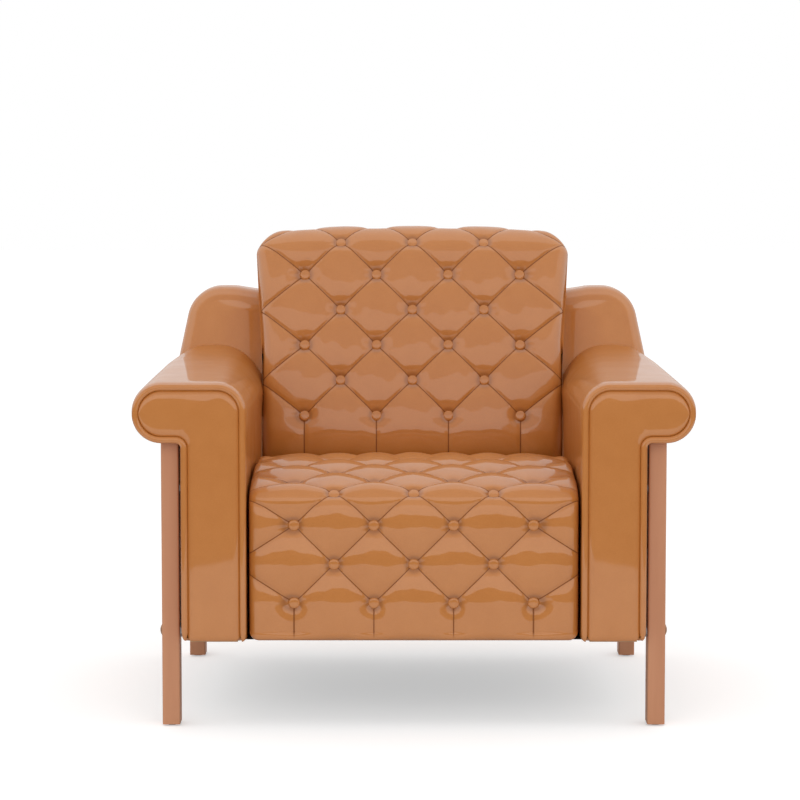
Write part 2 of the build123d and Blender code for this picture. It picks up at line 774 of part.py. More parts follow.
    with BuildPart() as arm_top_board:
        board_end = shell_front(top_board_bottom, -2 * fit)
        roll_edge = overall_width / 2 - roll_radius - roll_board_setback
        with BuildSketch(Plane.XY.offset(top_board_bottom)):
            with BuildLine():
                Polyline((side * (half_gap + arm_corner_radius), board_back), (side * roll_edge, board_back),
                         (side * roll_edge, sweep_start - fit), (side * wood_outer, sweep_start - fit),
                         (side * wood_outer, board_end), (side * (half_gap + arm_corner_radius), board_end),
                         close=True)
            make_face()
        extrude(amount=board_thickness)
    save(arm_top_board, f"{name}_arm_top_board")

    with BuildPart() as arm_roll_foam:
        with BuildSketch(Plane.XZ.offset(-board_back)):
            with BuildLine():
                near, far = side * (wood_outer + 2 * fit), side * (overall_width / 2 - arm_pad - fit)
                edge, under = side * (roll_edge + fit), roll_underside + arm_pad + fit
                FilletPolyline((near, under), (far, under), (far, top_board_top), (edge, top_board_top),
                               (edge, top_board_bottom - fit), (near, top_board_bottom - fit), close=True,
                               radius=[0, roll_radius - arm_pad - fit, roll_radius - arm_pad - fit, 0, 0, 0])
            make_face()
        extrude(amount=board_back - sweep_start + fit)
    save(arm_roll_foam, f"{name}_arm_roll_foam")

    with BuildPart() as arm_side_panels:
        low = arm_rail_top + fit
        skins = ((wood_inner, 1, board_back, arm_height - arm_corner_radius),
                 (wood_outer, -1, board_back + arm_post_depth + fit, roll_underside))
        for face_at, inward, start, high in skins:
            with BuildSketch(Plane.YZ.offset(side * face_at)):
                with BuildLine():
                    Polyline((start, low), (start, high), (shell_front(high, rear_board_front - fit), high),
                             (shell_front(low, rear_board_front - fit), low), close=True)
                make_face()
            extrude(amount=side * inward * panel_thickness)
    save(arm_side_panels, f"{name}_arm_side_panels")


# Back shell with the two shoulders
def shell_plane(share):
    """Plane across the shell, from its raked front at share 0 to its raked rear at 1."""
    lean = tan(rake) + (tan(rear_rake) - tan(rake)) * share
    tilt = atan(lean)
    depth = shell_front(0) + (shell_rear(0) - shell_front(0)) * share
    return Plane(origin=(0, depth, 0), x_dir=(1, 0, 0), z_dir=(0, -cos(tilt), sin(tilt))), cos(tilt)


def shell_outline(inset, stretch):
    """Path up one side of the shell, out over the arm's roll, over both shoulders and down again."""
    base = (underside_height - shell_edge_round) / stretch
    outer, under = post_outer - inset, roll_underside / stretch + inset
    flare, shoulder = post_outer + shoulder_flare - inset, overall_width / 2 - shoulder_inset - inset
    top = shoulder_height / stretch - inset
    right = [(outer, base), (outer, under), (flare, under), (shoulder, top)]
    left = [(-across, height) for across, height in reversed(right)]
    radii = [roll_fillet + inset, shell_flare_radius - inset, shoulder_radius - inset]
    return FilletPolyline(*right, *left, radius=radii + radii[::-1])


shell_sections = ((0, 1), (0.08, 0.3), (0.25, 0), (0.75, 0), (0.92, 0.3), (1, 1))
with BuildPart() as back_shell_cover:
    sections = []
    for share, rounding in shell_sections:
        plane, stretch = shell_plane(share)
        with BuildLine(plane, mode=Mode.PRIVATE) as section:
            shell_outline(shell_edge_round * rounding, stretch)
        sections.append([spot for spot, along in stations_along(section.wire())])
    add(faceted(sections))
    split(bisect_by=Plane.XY.offset(underside_height), keep=Keep.TOP)
    with BuildSketch(Plane.YZ):
        with BuildLine():
            low = underside_height - shell_edge_round
            high = shell_cavity_top
            Polyline((shell_front(low, shell_pad), low), (shell_front(high, shell_pad), high),
                     (shell_rear(high, shell_pad), high), (shell_rear(low, shell_pad), low), close=True)
        make_face()
    extrude(amount=post_outer - shell_pad, both=True, mode=Mode.SUBTRACT)
    for side in sides.values():
        leg_fastener_holes(side, "rear")
        for height in back_bolt_heights:
            raked_rod(back_bolt_hole, side * back_bolt_across, height, -fit, shell_pad + fit, Mode.SUBTRACT)
save(back_shell_cover, "back_shell_cover")

for name, side in sides.items():
    with BuildPart() as back_side_board:
        low, high = arm_rail_bottom, shell_cavity_top - fit
        with BuildSketch(Plane.YZ.offset(side * side_board_inner)):
            with BuildLine():
                Polyline((shell_front(low, back_wood_front), low), (shell_front(high, back_wood_front), high),
                         (shell_rear(high, shell_pad + fit), high), (shell_rear(low, shell_pad + fit), low),
                         close=True)
            make_face()
        extrude(amount=side * side_board_thickness)
        insert_pocket(side, "rear")
        screw_depth = leg_depths["rear"]
        cross_cut(screw_hole, side * side_board_inner, side * side_board_outer, screw_depth, leg_screw_height)
        for height in back_bolt_heights:
            raked_rod(back_bolt_hole, side * back_bolt_across, height, 0, back_bolt_length, Mode.SUBTRACT)
            spot = raked_frame(height, barrel_depth).origin
            hole_end = barrel_end + bolt_clearance
            cross_cut(barrel_hole, side * side_board_inner, side * hole_end, spot.Y, spot.Z)
    save(back_side_board, f"{name}_back_side_board")


def back_rail(low):
    """Raked rail between the side boards, just behind the webbing."""
    high = low + back_rail_height
    back = back_wood_front + back_rail_thickness
    with BuildPart() as rail:
        with BuildSketch(Plane.YZ):
            with BuildLine():
                Polyline((shell_front(low, back_wood_front), low), (shell_front(high, back_wood_front), high),
                         (shell_front(high, back), high), (shell_front(low, back), low), close=True)
            make_face()
        extrude(amount=side_board_inner, both=True)
    return rail


back_rail_top = shell_cavity_top - fit - back_rail_height
save(back_rail(back_rail_top), "back_top_rail")
save(back_rail(leg_screw_height - middle_rail_gap - back_rail_height), "back_middle_rail")
save(back_rail(arm_rail_bottom), "back_bottom_rail")

with BuildPart() as back_webbing:
    for index in range(back_webs):
        middle = back_web_first_height + index * back_web_pitch
        with BuildSketch(raked_frame(middle, web_front)):
            Rectangle(2 * (side_board_outer - web_end_margin), web_width)
        extrude(amount=-web_thickness)
save(back_webbing, "back_webbing")

with BuildPart() as dust_cover:
    dust_half = post_outer - dust_cover_inset
    block((-dust_half, cover_front + dust_cover_inset, underside_height - dust_cover_thickness),
          (dust_half, shell_rear(underside_height) - dust_cover_inset, underside_height))
save(dust_cover, "dust_cover")

# Legs: flat posts outside the arms, under the roll
for place, depth in leg_depths.items():
    for name, side in sides.items():
        with BuildPart() as leg:
            block((side * leg_inner, depth - leg_depth / 2, glide_height),
                  (side * leg_outer, depth + leg_depth / 2, leg_top))
            fillet(leg.edges().filter_by(Axis.Z), leg_edge_radius)
            cross_cut(bolt_hole, side * leg_inner, side * leg_outer, depth, leg_bolt_height)
            screw_end = leg_inner + screw_bite + bolt_clearance
            cross_cut(screw_hole, side * leg_inner, side * screw_end, depth, leg_screw_height)
        save(leg, f"{place}_{name}_leg")


# Dome-headed bolt through the foot of each leg
with BuildPart() as leg_bolt:
    with BuildSketch(Plane.XY):
        with BuildLine():
            head = bolt_head_diameter / 2
            dome_radius = (head ** 2 + bolt_head_height ** 2) / (2 * bolt_head_height)
            Polyline((bolt_head_height, 0), (0, 0), (0, head))
            RadiusArc((0, head), (bolt_head_height, 0), dome_radius)
        make_face()
    revolve(axis=Axis.X)
    cross_rod(bolt_diameter / 2, 0, bolt_tip - leg_outer, 0, 0)

with BuildPart() as leg_bolts:
    with Locations(*[(leg_outer, depth, leg_bolt_height) for depth in leg_depths.values()]):
        add(leg_bolt.part)
    mirror(about=Plane.YZ)
save(leg_bolts, "leg_bolts")

# Rings that hold the legs off the padding
with BuildPart() as leg_spacers:
    for depth in leg_depths.values():
        for height in (leg_bolt_height, leg_screw_height):
            cross_rod(spacer_diameter / 2, post_outer, leg_inner, depth, height)
            cross_cut(bolt_hole, post_outer, leg_inner, depth, height)
    mirror(about=Plane.YZ)
save(leg_spacers, "leg_spacers")

# Screws from inside the frame into the top of each leg
with BuildPart() as leg_screws:
    for place, depth in leg_depths.items():
        head_end = screw_start[place] - screw_head_height
        cross_rod(screw_head_diameter / 2, head_end, screw_start[place], depth, leg_screw_height)
        cross_rod(screw_diameter / 2, head_end, leg_inner + screw_bite, depth, leg_screw_height)
    mirror(about=Plane.YZ)
save(leg_screws, "leg_screws")

# Threaded inserts in the arm rails and back side boards
with BuildPart() as insert_nuts:
    bore = (bolt_diameter + insert_fit) / 2
    for depth in leg_depths.values():
        cross_rod(insert_diameter / 2, insert_end, wood_outer, depth, leg_bolt_height)
        cross_cut(bore, insert_end, wood_outer, depth, leg_bolt_height)
    for depth in seat_bolt_depths:
        cross_rod(insert_diameter / 2, wood_inner, seat_insert_end, depth, seat_bolt_height)
        cross_cut(bore, wood_inner, seat_insert_end, depth, seat_bolt_height)
    mirror(about=Plane.YZ)
save(insert_nuts, "insert_nuts")

with BuildPart() as foot_glides:
    for depth in leg_depths.values():
        foot = Plane(origin=((leg_inner + leg_outer) / 2, depth, 0))
        extrude(flats(foot, glide_diameter / 2), amount=glide_height)
    mirror(about=Plane.YZ)
save(foot_glides, "foot_glides")

# Bolts from the seat's side rails into the arms
with BuildPart() as seat_bolts:
    for depth in seat_bolt_depths:
        head_end = side_rail_inner - seat_bolt_head_height
        cross_rod(seat_bolt_head_diameter / 2, head_end, side_rail_inner, depth, seat_bolt_height)
        cross_rod(bolt_diameter / 2, head_end, seat_insert_end + bolt_clearance, depth, seat_bolt_height)
    mirror(about=Plane.YZ)
save(seat_bolts, "seat_bolts")

# Bolts from the arms' rear boards into the back side boards, with their cross nuts
with BuildPart() as back_bolts:
    head_end, tip = rear_board_front - back_bolt_head_height, rear_board_front + back_bolt_length
    for height in back_bolt_heights:
        raked_rod(back_bolt_head_diameter / 2, back_bolt_across, height, head_end, rear_board_front)
        raked_rod(back_bolt_diameter / 2, back_bolt_across, height, rear_board_front, tip)
    mirror(about=Plane.YZ)
save(back_bolts, "back_bolts")

with BuildPart() as barrel_nuts:
    for height in back_bolt_heights:
        spot = raked_frame(height, barrel_depth).origin
        cross_rod(barrel_diameter / 2, barrel_end - barrel_length, barrel_end, spot.Y, spot.Z)
        start, end = barrel_depth - barrel_diameter, barrel_depth + barrel_diameter
        raked_rod((back_bolt_diameter + insert_fit) / 2, back_bolt_across, height, start, end, Mode.SUBTRACT)
    mirror(about=Plane.YZ)
save(barrel_nuts, "barrel_nuts")
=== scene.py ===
import bmesh
import bpy
import numpy as np
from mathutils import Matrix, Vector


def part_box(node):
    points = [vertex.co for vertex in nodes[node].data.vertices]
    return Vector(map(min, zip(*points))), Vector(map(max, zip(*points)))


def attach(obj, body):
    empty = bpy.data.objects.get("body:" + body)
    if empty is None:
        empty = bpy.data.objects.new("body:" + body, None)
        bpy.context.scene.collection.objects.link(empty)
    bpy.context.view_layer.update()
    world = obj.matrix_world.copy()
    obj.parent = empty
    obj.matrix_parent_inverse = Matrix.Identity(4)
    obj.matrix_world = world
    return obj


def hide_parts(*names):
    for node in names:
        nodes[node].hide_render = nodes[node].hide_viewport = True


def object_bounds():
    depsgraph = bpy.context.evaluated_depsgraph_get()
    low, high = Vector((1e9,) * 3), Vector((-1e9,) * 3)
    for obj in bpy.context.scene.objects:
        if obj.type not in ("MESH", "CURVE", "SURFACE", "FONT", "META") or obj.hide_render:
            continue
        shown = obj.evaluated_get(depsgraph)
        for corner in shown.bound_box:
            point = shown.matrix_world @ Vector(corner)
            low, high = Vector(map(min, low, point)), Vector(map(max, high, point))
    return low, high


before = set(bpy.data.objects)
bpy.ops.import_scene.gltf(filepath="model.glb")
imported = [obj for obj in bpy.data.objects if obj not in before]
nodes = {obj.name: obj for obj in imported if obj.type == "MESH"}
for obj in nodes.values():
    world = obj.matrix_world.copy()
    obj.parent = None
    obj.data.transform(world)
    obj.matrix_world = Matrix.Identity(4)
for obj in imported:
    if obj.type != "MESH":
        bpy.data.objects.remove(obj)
cad_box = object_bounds()


# Wooden frame inside the upholstery: boards, rails and posts of sawn softwood with thin
# fibreboard skins, screwed and doweled together. It is covered all round by the padding.
def new_finish(name):
    """An empty node material: gives back the material, its tree and its Principled shader."""
    finish = bpy.data.materials.new(name)
    finish.use_nodes = True
    return finish, finish.node_tree, finish.node_tree.nodes["Principled BSDF"]


def put(tree, kind, settings=(), **values):
    """Add a node, set its own settings, and set or link its inputs by name."""
    node = tree.nodes.new(kind)
    for key, value in dict(settings).items():
        setattr(node, key, value)
    dress(tree, node, **values)
    return node


def dress(tree, node, **values):
    """Set or link a node's inputs by name."""
    for key, value in values.items():
        feed(tree, node.inputs[key.replace("_", " ")], value)


def feed(tree, socket, value):
    """Link an output to an input, or set the input to a plain value."""
    if isinstance(value, bpy.types.NodeSocket):
        tree.links.new(value, socket)
    else:
        socket.default_value = value


def blend_colour(tree, share, first, second):
    """Colour that goes from the first to the second as share goes from 0 to 1."""
    node = put(tree, "ShaderNodeMix", {"data_type": "RGBA"})
    feed(tree, node.inputs[0], share)
    feed(tree, node.inputs[6], first)
    feed(tree, node.inputs[7], second)
    return node.outputs[2]


def measure(tree, operation, first, second=0.0, third=0.0):
    """One step of arithmetic on values that change over the surface."""
    node = put(tree, "ShaderNodeMath", {"operation": operation})
    for socket, value in zip(node.inputs, (first, second, third)):
        feed(tree, socket, value)
    return node.outputs[0]


def ranged(tree, value, low, high, to_low=0.0, to_high=1.0, kind="LINEAR"):
    """A value carried over from one range to another, and held at both ends."""
    node = put(tree, "ShaderNodeMapRange", {"interpolation_type": kind}, Value=value,
               From_Min=low, From_Max=high, To_Min=to_low, To_Max=to_high)
    return node.outputs[0]


def relief(tree, shader, height, strength, distance):
    """Tilt the shader's normal by a height that changes over the surface."""
    bump = put(tree, "ShaderNodeBump", Height=height, Strength=strength, Distance=distance)
    dress(tree, shader, Normal=bump.outputs[0])


def timber_grain():
    """Shader group: long wavy streaks along Z with fine pores, for sawn and stained wood."""
    group = bpy.data.node_groups.new("timber_grain", "ShaderNodeTree")
    for name, way in (("Streak Scale", "INPUT"), ("Streak", "OUTPUT"), ("Pores", "OUTPUT")):
        group.interface.new_socket(name, in_out=way, socket_type="NodeSocketFloat")
    enter, leave = put(group, "NodeGroupInput"), put(group, "NodeGroupOutput")
    place = put(group, "ShaderNodeTexCoord").outputs["Object"]
    along = put(group, "ShaderNodeMapping", Vector=place, Scale=(1.0, 1.0, 0.06)).outputs[0]
    streak = put(group, "ShaderNodeTexNoise", Vector=along, Scale=enter.outputs[0], Detail=4.0,
                 Roughness=0.55, Distortion=0.6)
    fine = put(group, "ShaderNodeMapping", Vector=place, Scale=(1.0, 1.0, 0.03)).outputs[0]
    pores = put(group, "ShaderNodeTexNoise", Vector=fine, Scale=900.0, Detail=2.0)
    feed(group, leave.inputs[0], streak.outputs[0])
    feed(group, leave.inputs[1], pores.outputs[0])
    return group


timber = timber_grain()


def wood_finish(name, light, dark, streak_scale, roughness, pore_depth):
    """Stained wood: streaks mix two browns, and the pores make a shallow relief."""
    finish, tree, shader = new_finish(name)
    grain = put(tree, "ShaderNodeGroup", {"node_tree": timber}, Streak_Scale=streak_scale)
    pores = grain.outputs["Pores"]
    tone = ranged(tree, grain.outputs["Streak"], 0.3, 0.7)
    rough = ranged(tree, pores, 0.0, 1.0, roughness - 0.06, roughness + 0.08)
    dress(tree, shader, Base_Color=blend_colour(tree, tone, light, dark), Roughness=rough)
    relief(tree, shader, pores, strength=0.25, distance=pore_depth)
    return finish


def give(finish, *names):
    """Put one finish on CAD nodes whose shape is kept."""
    for name in names:
        mesh = nodes[name].data
        mesh.materials.clear()
        mesh.materials.append(finish)


frame_wood = wood_finish("frame_wood", (0.62, 0.43, 0.24, 1), (0.48, 0.30, 0.15, 1),
                         streak_scale=38.0, roughness=0.72, pore_depth=0.0006)
frame_endings = ("_rail", "_board", "_post", "_panels", "_blocks")
give(frame_wood, *[name for name in nodes if name.endswith(frame_endings)], "frame_dowels")


# Legs: four flat solid-wood posts with eased edges, stained mid brown and wiped with satin oil.
# Each stands outside the arm, under the roll, and is bolted through to the frame.
leg_wood = wood_finish("leg_wood", (0.60, 0.278, 0.150, 1), (0.53, 0.232, 0.118, 1),
                       streak_scale=30.0, roughness=0.46, pore_depth=0.0003)
give(leg_wood, *[f"{end}_{side}_leg" for end in ("front", "rear") for side in ("left", "right")])


# Fasteners and feet: dome-headed bronze bolts through the legs, zinc-plated bolts, screws, nuts
# and spacers behind them, and nylon glides nailed under the legs.
def metal_finish(name, colour, worn, roughness):
    """Plated metal: cloudy wear mixes two tones and shifts the gloss."""
    finish, tree, shader = new_finish(name)
    place = put(tree, "ShaderNodeTexCoord").outputs["Object"]
    cloud = put(tree, "ShaderNodeTexNoise", Vector=place, Scale=260.0, Detail=3.0).outputs[0]
    rough = ranged(tree, cloud, 0.0, 1.0, roughness - 0.08, roughness + 0.1)
    dress(tree, shader, Base_Color=blend_colour(tree, cloud, colour, worn), Roughness=rough,
          Metallic=1.0)
    return finish


bolt_bronze = metal_finish("bolt_bronze", (0.36, 0.17, 0.08, 1), (0.50, 0.26, 0.13, 1),
                           roughness=0.38)
zinc_plate = metal_finish("zinc_plate", (0.56, 0.57, 0.58, 1), (0.43, 0.44, 0.46, 1),
                          roughness=0.34)
give(bolt_bronze, "leg_bolts")
give(zinc_plate, "leg_spacers", "leg_screws", "insert_nuts", "seat_bolts", "back_bolts",
     "barrel_nuts")

glide_plastic, tree, shader = new_finish("glide_plastic")
place = put(tree, "ShaderNodeTexCoord").outputs["Object"]
scuff = put(tree, "ShaderNodeTexNoise", Vector=place, Scale=420.0).outputs[0]
scuffed = blend_colour(tree, scuff, (0.035, 0.026, 0.02, 1), (0.075, 0.06, 0.05, 1))
dress(tree, shader, Base_Color=scuffed, Roughness=0.5)
give(glide_plastic, "foot_glides")


# Seat and back webbing: woven jute straps stapled over the rails, interlaced under the seat.
# Felt lies on the seat webbing, and a thin non-woven dust cover is stapled under the chair.
def skin(name, points, close_rows=False, close_columns=False, flip=False):
    """Mesh object from one or more grids of points: each grid cell is one four-sided face."""
    rows, columns = points.shape[-3:-1]
    first = np.arange(points.size // 3 // (rows * columns))[:, None, None] * rows * columns
    row = np.arange(rows if close_rows else rows - 1)[None, :, None]
    column = np.arange(columns if close_columns else columns - 1)[None, None, :]
    here, after = first + row * columns, first + (row + 1) % rows * columns
    beside = (column + 1) % columns
    corners = (here + column, here + beside, after + beside, after + column)
    faces = np.stack(np.broadcast_arrays(*corners), axis=-1).reshape(-1, 4)
    mesh = bpy.data.meshes.new(name)
    mesh.from_pydata(points.reshape(-1, 3).tolist(), [],
                     (faces[:, ::-1] if flip else faces).tolist())
    mesh.shade_smooth()
    piece = bpy.data.objects.new(name, mesh)
    bpy.context.scene.collection.objects.link(piece)
    return piece


def seat_piece(piece, finish, slot, *stands_for):
    """Close the poles, give the material, hang the piece on the root body, and hide the solids it
    stands for.
    """
    shape = bmesh.new()
    shape.from_mesh(piece.data)
    bmesh.ops.remove_doubles(shape, verts=shape.verts, dist=1e-6)
    shape.to_mesh(piece.data)
    shape.free()
    piece.data.materials.append(finish)
    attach(piece, "root")
    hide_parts(*stands_for)


def thicken(piece, thickness):
    """Give an open skin its cloth thickness, on the inner side."""
    wall = piece.modifiers.new("thickness", "SOLIDIFY")
    wall.thickness, wall.offset, wall.use_even_offset = thickness, -1.0, True


def woven_finish(name, light, dark, thread, roughness, thread_depth):
    """Plain weave on the piece's own thread map.

    Two crossed thread waves, each the size of a sine, are multiplied, so that the gaps between
    threads are dark: painted shade.
    """
    finish, tree, shader = new_finish(name)
    place = put(tree, "ShaderNodeUVMap", {"uv_map": "threads"}).outputs[0]
    apart = put(tree, "ShaderNodeSeparateXYZ", Vector=place)
    turns = [measure(tree, "MULTIPLY", way, np.pi / thread) for way in apart.outputs[:2]]
    waves = [measure(tree, "ABSOLUTE", measure(tree, "SINE", turn)) for turn in turns]
    weave = measure(tree, "MULTIPLY", *waves)
    fuzz = put(tree, "ShaderNodeTexNoise", Vector=place, Scale=350.0).outputs[0]
    tone = measure(tree, "MULTIPLY_ADD", weave, 0.7, measure(tree, "MULTIPLY", fuzz, 0.4))
    dress(tree, shader, Base_Color=blend_colour(tree, tone, dark, light), Roughness=roughness)
    relief(tree, shader, tone, strength=0.6, distance=thread_depth)
    return finish


def map_uv(piece, name, across, along):
    """UV map from one pair of values for each point of the piece's grid."""
    chart = piece.data.uv_layers.new(name=name)
    spots = np.empty(len(piece.data.loops), np.int32)
    piece.data.loops.foreach_get("vertex_index", spots)
    flat = np.stack(np.broadcast_arrays(across, along), axis=-1).reshape(-1, 2)
    chart.data.foreach_set("uv", flat[spots].astype(np.float32).ravel())


jute = woven_finish("jute_webbing", (0.42, 0.31, 0.18, 1), (0.16, 0.11, 0.06, 1),
                    thread=0.004, roughness=0.9, thread_depth=0.0004)
strap_width, strap_thickness, strap_wave = 0.058, 0.0016, 0.0009


def straps(name, starts, ends, wave):
    """Row of seat straps: each is a closed flat section carried from start to end.

    The section is a rounded strip, and the path waves up and down by a sine, so that crossing
    straps pass over and under each other. The thread map is in metres of cloth.
    """
    around = 16
    starts, ends = np.asarray(starts, float), np.asarray(ends, float)
    share = np.linspace(0, 1, 49)
    path = starts[:, None] + (ends - starts)[:, None] * share[None, :, None]
    run = (ends - starts)[0] / np.linalg.norm((ends - starts)[0])
    sideways = np.cross(run, (0, 0, 1.0))
    turn = np.linspace(0, 2 * np.pi, around, endpoint=False)
    flat = np.sign(np.cos(turn)) * np.abs(np.cos(turn)) ** 0.3 * strap_width / 2
    tall = np.sign(np.sin(turn)) * np.abs(np.sin(turn)) ** 0.6 * strap_thickness / 2
    weave = wave(np.arange(len(starts))[:, None], share[None, :])
    lift = tall[None, None, :] + weave[:, :, None]
    points = (path[:, :, None] + flat[None, None, :, None] * sideways
              + lift[..., None] * np.cross(sideways, run))
    middle = points.mean(2, keepdims=True).repeat(around, 2)
    points = np.concatenate([middle[:, :1], points, middle[:, -1:]], axis=1)
    piece = skin(name, points, close_columns=True, flip=True)
    along = np.linalg.norm(points - points[:, :1], axis=-1)
    map_uv(piece, "threads", flat + strap_width / 2, along)
    seat_piece(piece, jute, "webbing", "seat_webbing")


low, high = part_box("seat_webbing")
long_x = (np.arange(5) - 2) * 0.0778
cross_y = np.linspace(low.y + 0.075, high.y - 0.075, 4)
web_z = (low.z + high.z) / 2
straps("seat_webbing_long", [(x, low.y, web_z) for x in long_x],
       [(x, high.y, web_z) for x in long_x],
       lambda index, share: strap_wave * np.sin(np.pi * (4 * share + index)))
straps("seat_webbing_cross", [(low.x, y, web_z) for y in cross_y],
       [(high.x, y, web_z) for y in cross_y],
       lambda index, share: strap_wave * np.cos(np.pi * (5 * share + index)))

# The back's four straps are flat, tilted by the back's rake and pressed forward by a sine arch.
rake = np.radians(15)
low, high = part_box("back_webbing")
web_rows = 0.290 + 0.1 * np.arange(4)
web_depth = (low.y + high.y) / 2 + (web_rows - (low.z + high.z) / 2) * np.tan(rake)
across = np.linspace(low.x, high.x, 41)[:, None]
offset = np.linspace(-strap_width / 2, strap_width / 2, 7)[None, :]
sag = 0.0012 * np.sin(np.pi * np.linspace(0, 1, 41))[:, None]
for index, (depth, height) in enumerate(zip(web_depth, web_rows)):
    strap = np.broadcast_arrays(across, depth + offset * np.sin(rake) - sag,
                                height + offset * np.cos(rake))
    piece = skin(f"back_webbing_{index + 1}", np.stack(strap, axis=-1))
    map_uv(piece, "threads", across, offset)
    thicken(piece, 0.0018)
    seat_piece(piece, jute, "webbing", "back_webbing")


def fibre_finish(name, light, dark, scale, roughness):
    """Matted fibres: a stretched noise and a coarse one mottle the colour and roughen it."""
    finish, tree, shader = new_finish(name)
    place = put(tree, "ShaderNodeTexCoord").outputs["Object"]
    long_way = put(tree, "ShaderNodeMapping", Vector=place, Scale=(1.0, 0.15, 1.0)).outputs[0]
    fibres = put(tree, "ShaderNodeTexNoise", Vector=long_way, Scale=scale, Detail=4.0).outputs[0]
    clumps = put(tree, "ShaderNodeTexNoise", Vector=place, Scale=scale * 0.1,
                 Detail=3.0).outputs[0]
    tone = measure(tree, "MULTIPLY_ADD", fibres, 0.6, measure(tree, "MULTIPLY", clumps, 0.5))
    dress(tree, shader, Base_Color=blend_colour(tree, tone, dark, light), Roughness=roughness)
    relief(tree, shader, fibres, strength=0.5, distance=0.0005)
    return finish


def flat_cloth(name, node, hem, sag, thickness, finish, slot, held):
    """Rectangular sheet on a CAD node, short of its edge by a hem.

    Its shallow bulge is the product of two sine arches.
    """
    low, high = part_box(node)
    width, length = high.x - low.x - 2 * hem, high.y - low.y - 2 * hem
    across, along = np.linspace(0, 1, 49)[:, None], np.linspace(0, 1, 49)[None, :]
    z = high.z + sag * (np.sin(np.pi * across) * np.sin(np.pi * along))
    grid = np.broadcast_arrays(low.x + hem + across * width, low.y + hem + along * length, z)
    piece = skin(name, np.stack(grid, axis=-1), flip=held == "laid")
    thicken(piece, thickness)
    seat_piece(piece, finish, slot, node)


felt = fibre_finish("felt", (0.33, 0.31, 0.28, 1), (0.12, 0.11, 0.10, 1),
                    scale=900.0, roughness=0.95)
lining = fibre_finish("dust_cloth", (0.028, 0.027, 0.027, 1), (0.010, 0.010, 0.011, 1),
                      scale=700.0, roughness=0.9)
flat_cloth("felt_layer", "seat_felt", hem=0.0, sag=-0.001, thickness=0.0025, finish=felt,
           slot="felt", held="laid")
flat_cloth("dust_cloth", "dust_cover", hem=0.020, sag=-0.003, thickness=0.0006, finish=lining,
           slot="dust_cloth", held="stretched")


# Seat: one tufted leather panel over the front and top of a foam block, sewn to plain sides.
# Buttons on twine pull the panel into diamonds, and straight pleats run on to the edges.
def leather_grain():
    """Shader group: cloudy speckled dye, a fine pebble and smeared gloss, as on leathercloth."""
    group = bpy.data.node_groups.new("leather_grain", "ShaderNodeTree")
    for name in ("Dye", "Pebble", "Gloss"):
        group.interface.new_socket(name, in_out="OUTPUT", socket_type="NodeSocketFloat")
    leave = put(group, "NodeGroupOutput")
    place = put(group, "ShaderNodeTexCoord").outputs["Object"]
    cloud = put(group, "ShaderNodeTexNoise", Vector=place, Scale=26.0, Detail=5.0,
                Roughness=0.62).outputs[0]
    speck = put(group, "ShaderNodeTexNoise", Vector=place, Scale=420.0, Detail=2.0).outputs[0]
    speck = measure(group, "MULTIPLY", speck, 0.38)
    pebble = put(group, "ShaderNodeTexVoronoi", Vector=place, Scale=850.0).outputs["Distance"]
    smear = put(group, "ShaderNodeTexNoise", Vector=place, Scale=11.0, Detail=4.0).outputs[0]
    feed(group, leave.inputs[0], measure(group, "MULTIPLY_ADD", cloud, 0.62, speck))
    feed(group, leave.inputs[1], pebble)
    feed(group, leave.inputs[2], smear)
    return group


leather = leather_grain()
tan_light = (0.570, 0.210, 0.044, 1)
tan_dark = (0.507, 0.174, 0.030, 1)
# Dark brown for painted shade in the fold lines, round the buttons and under their rims.
painted_shade_brown = (0.170, 0.046, 0.009, 1)


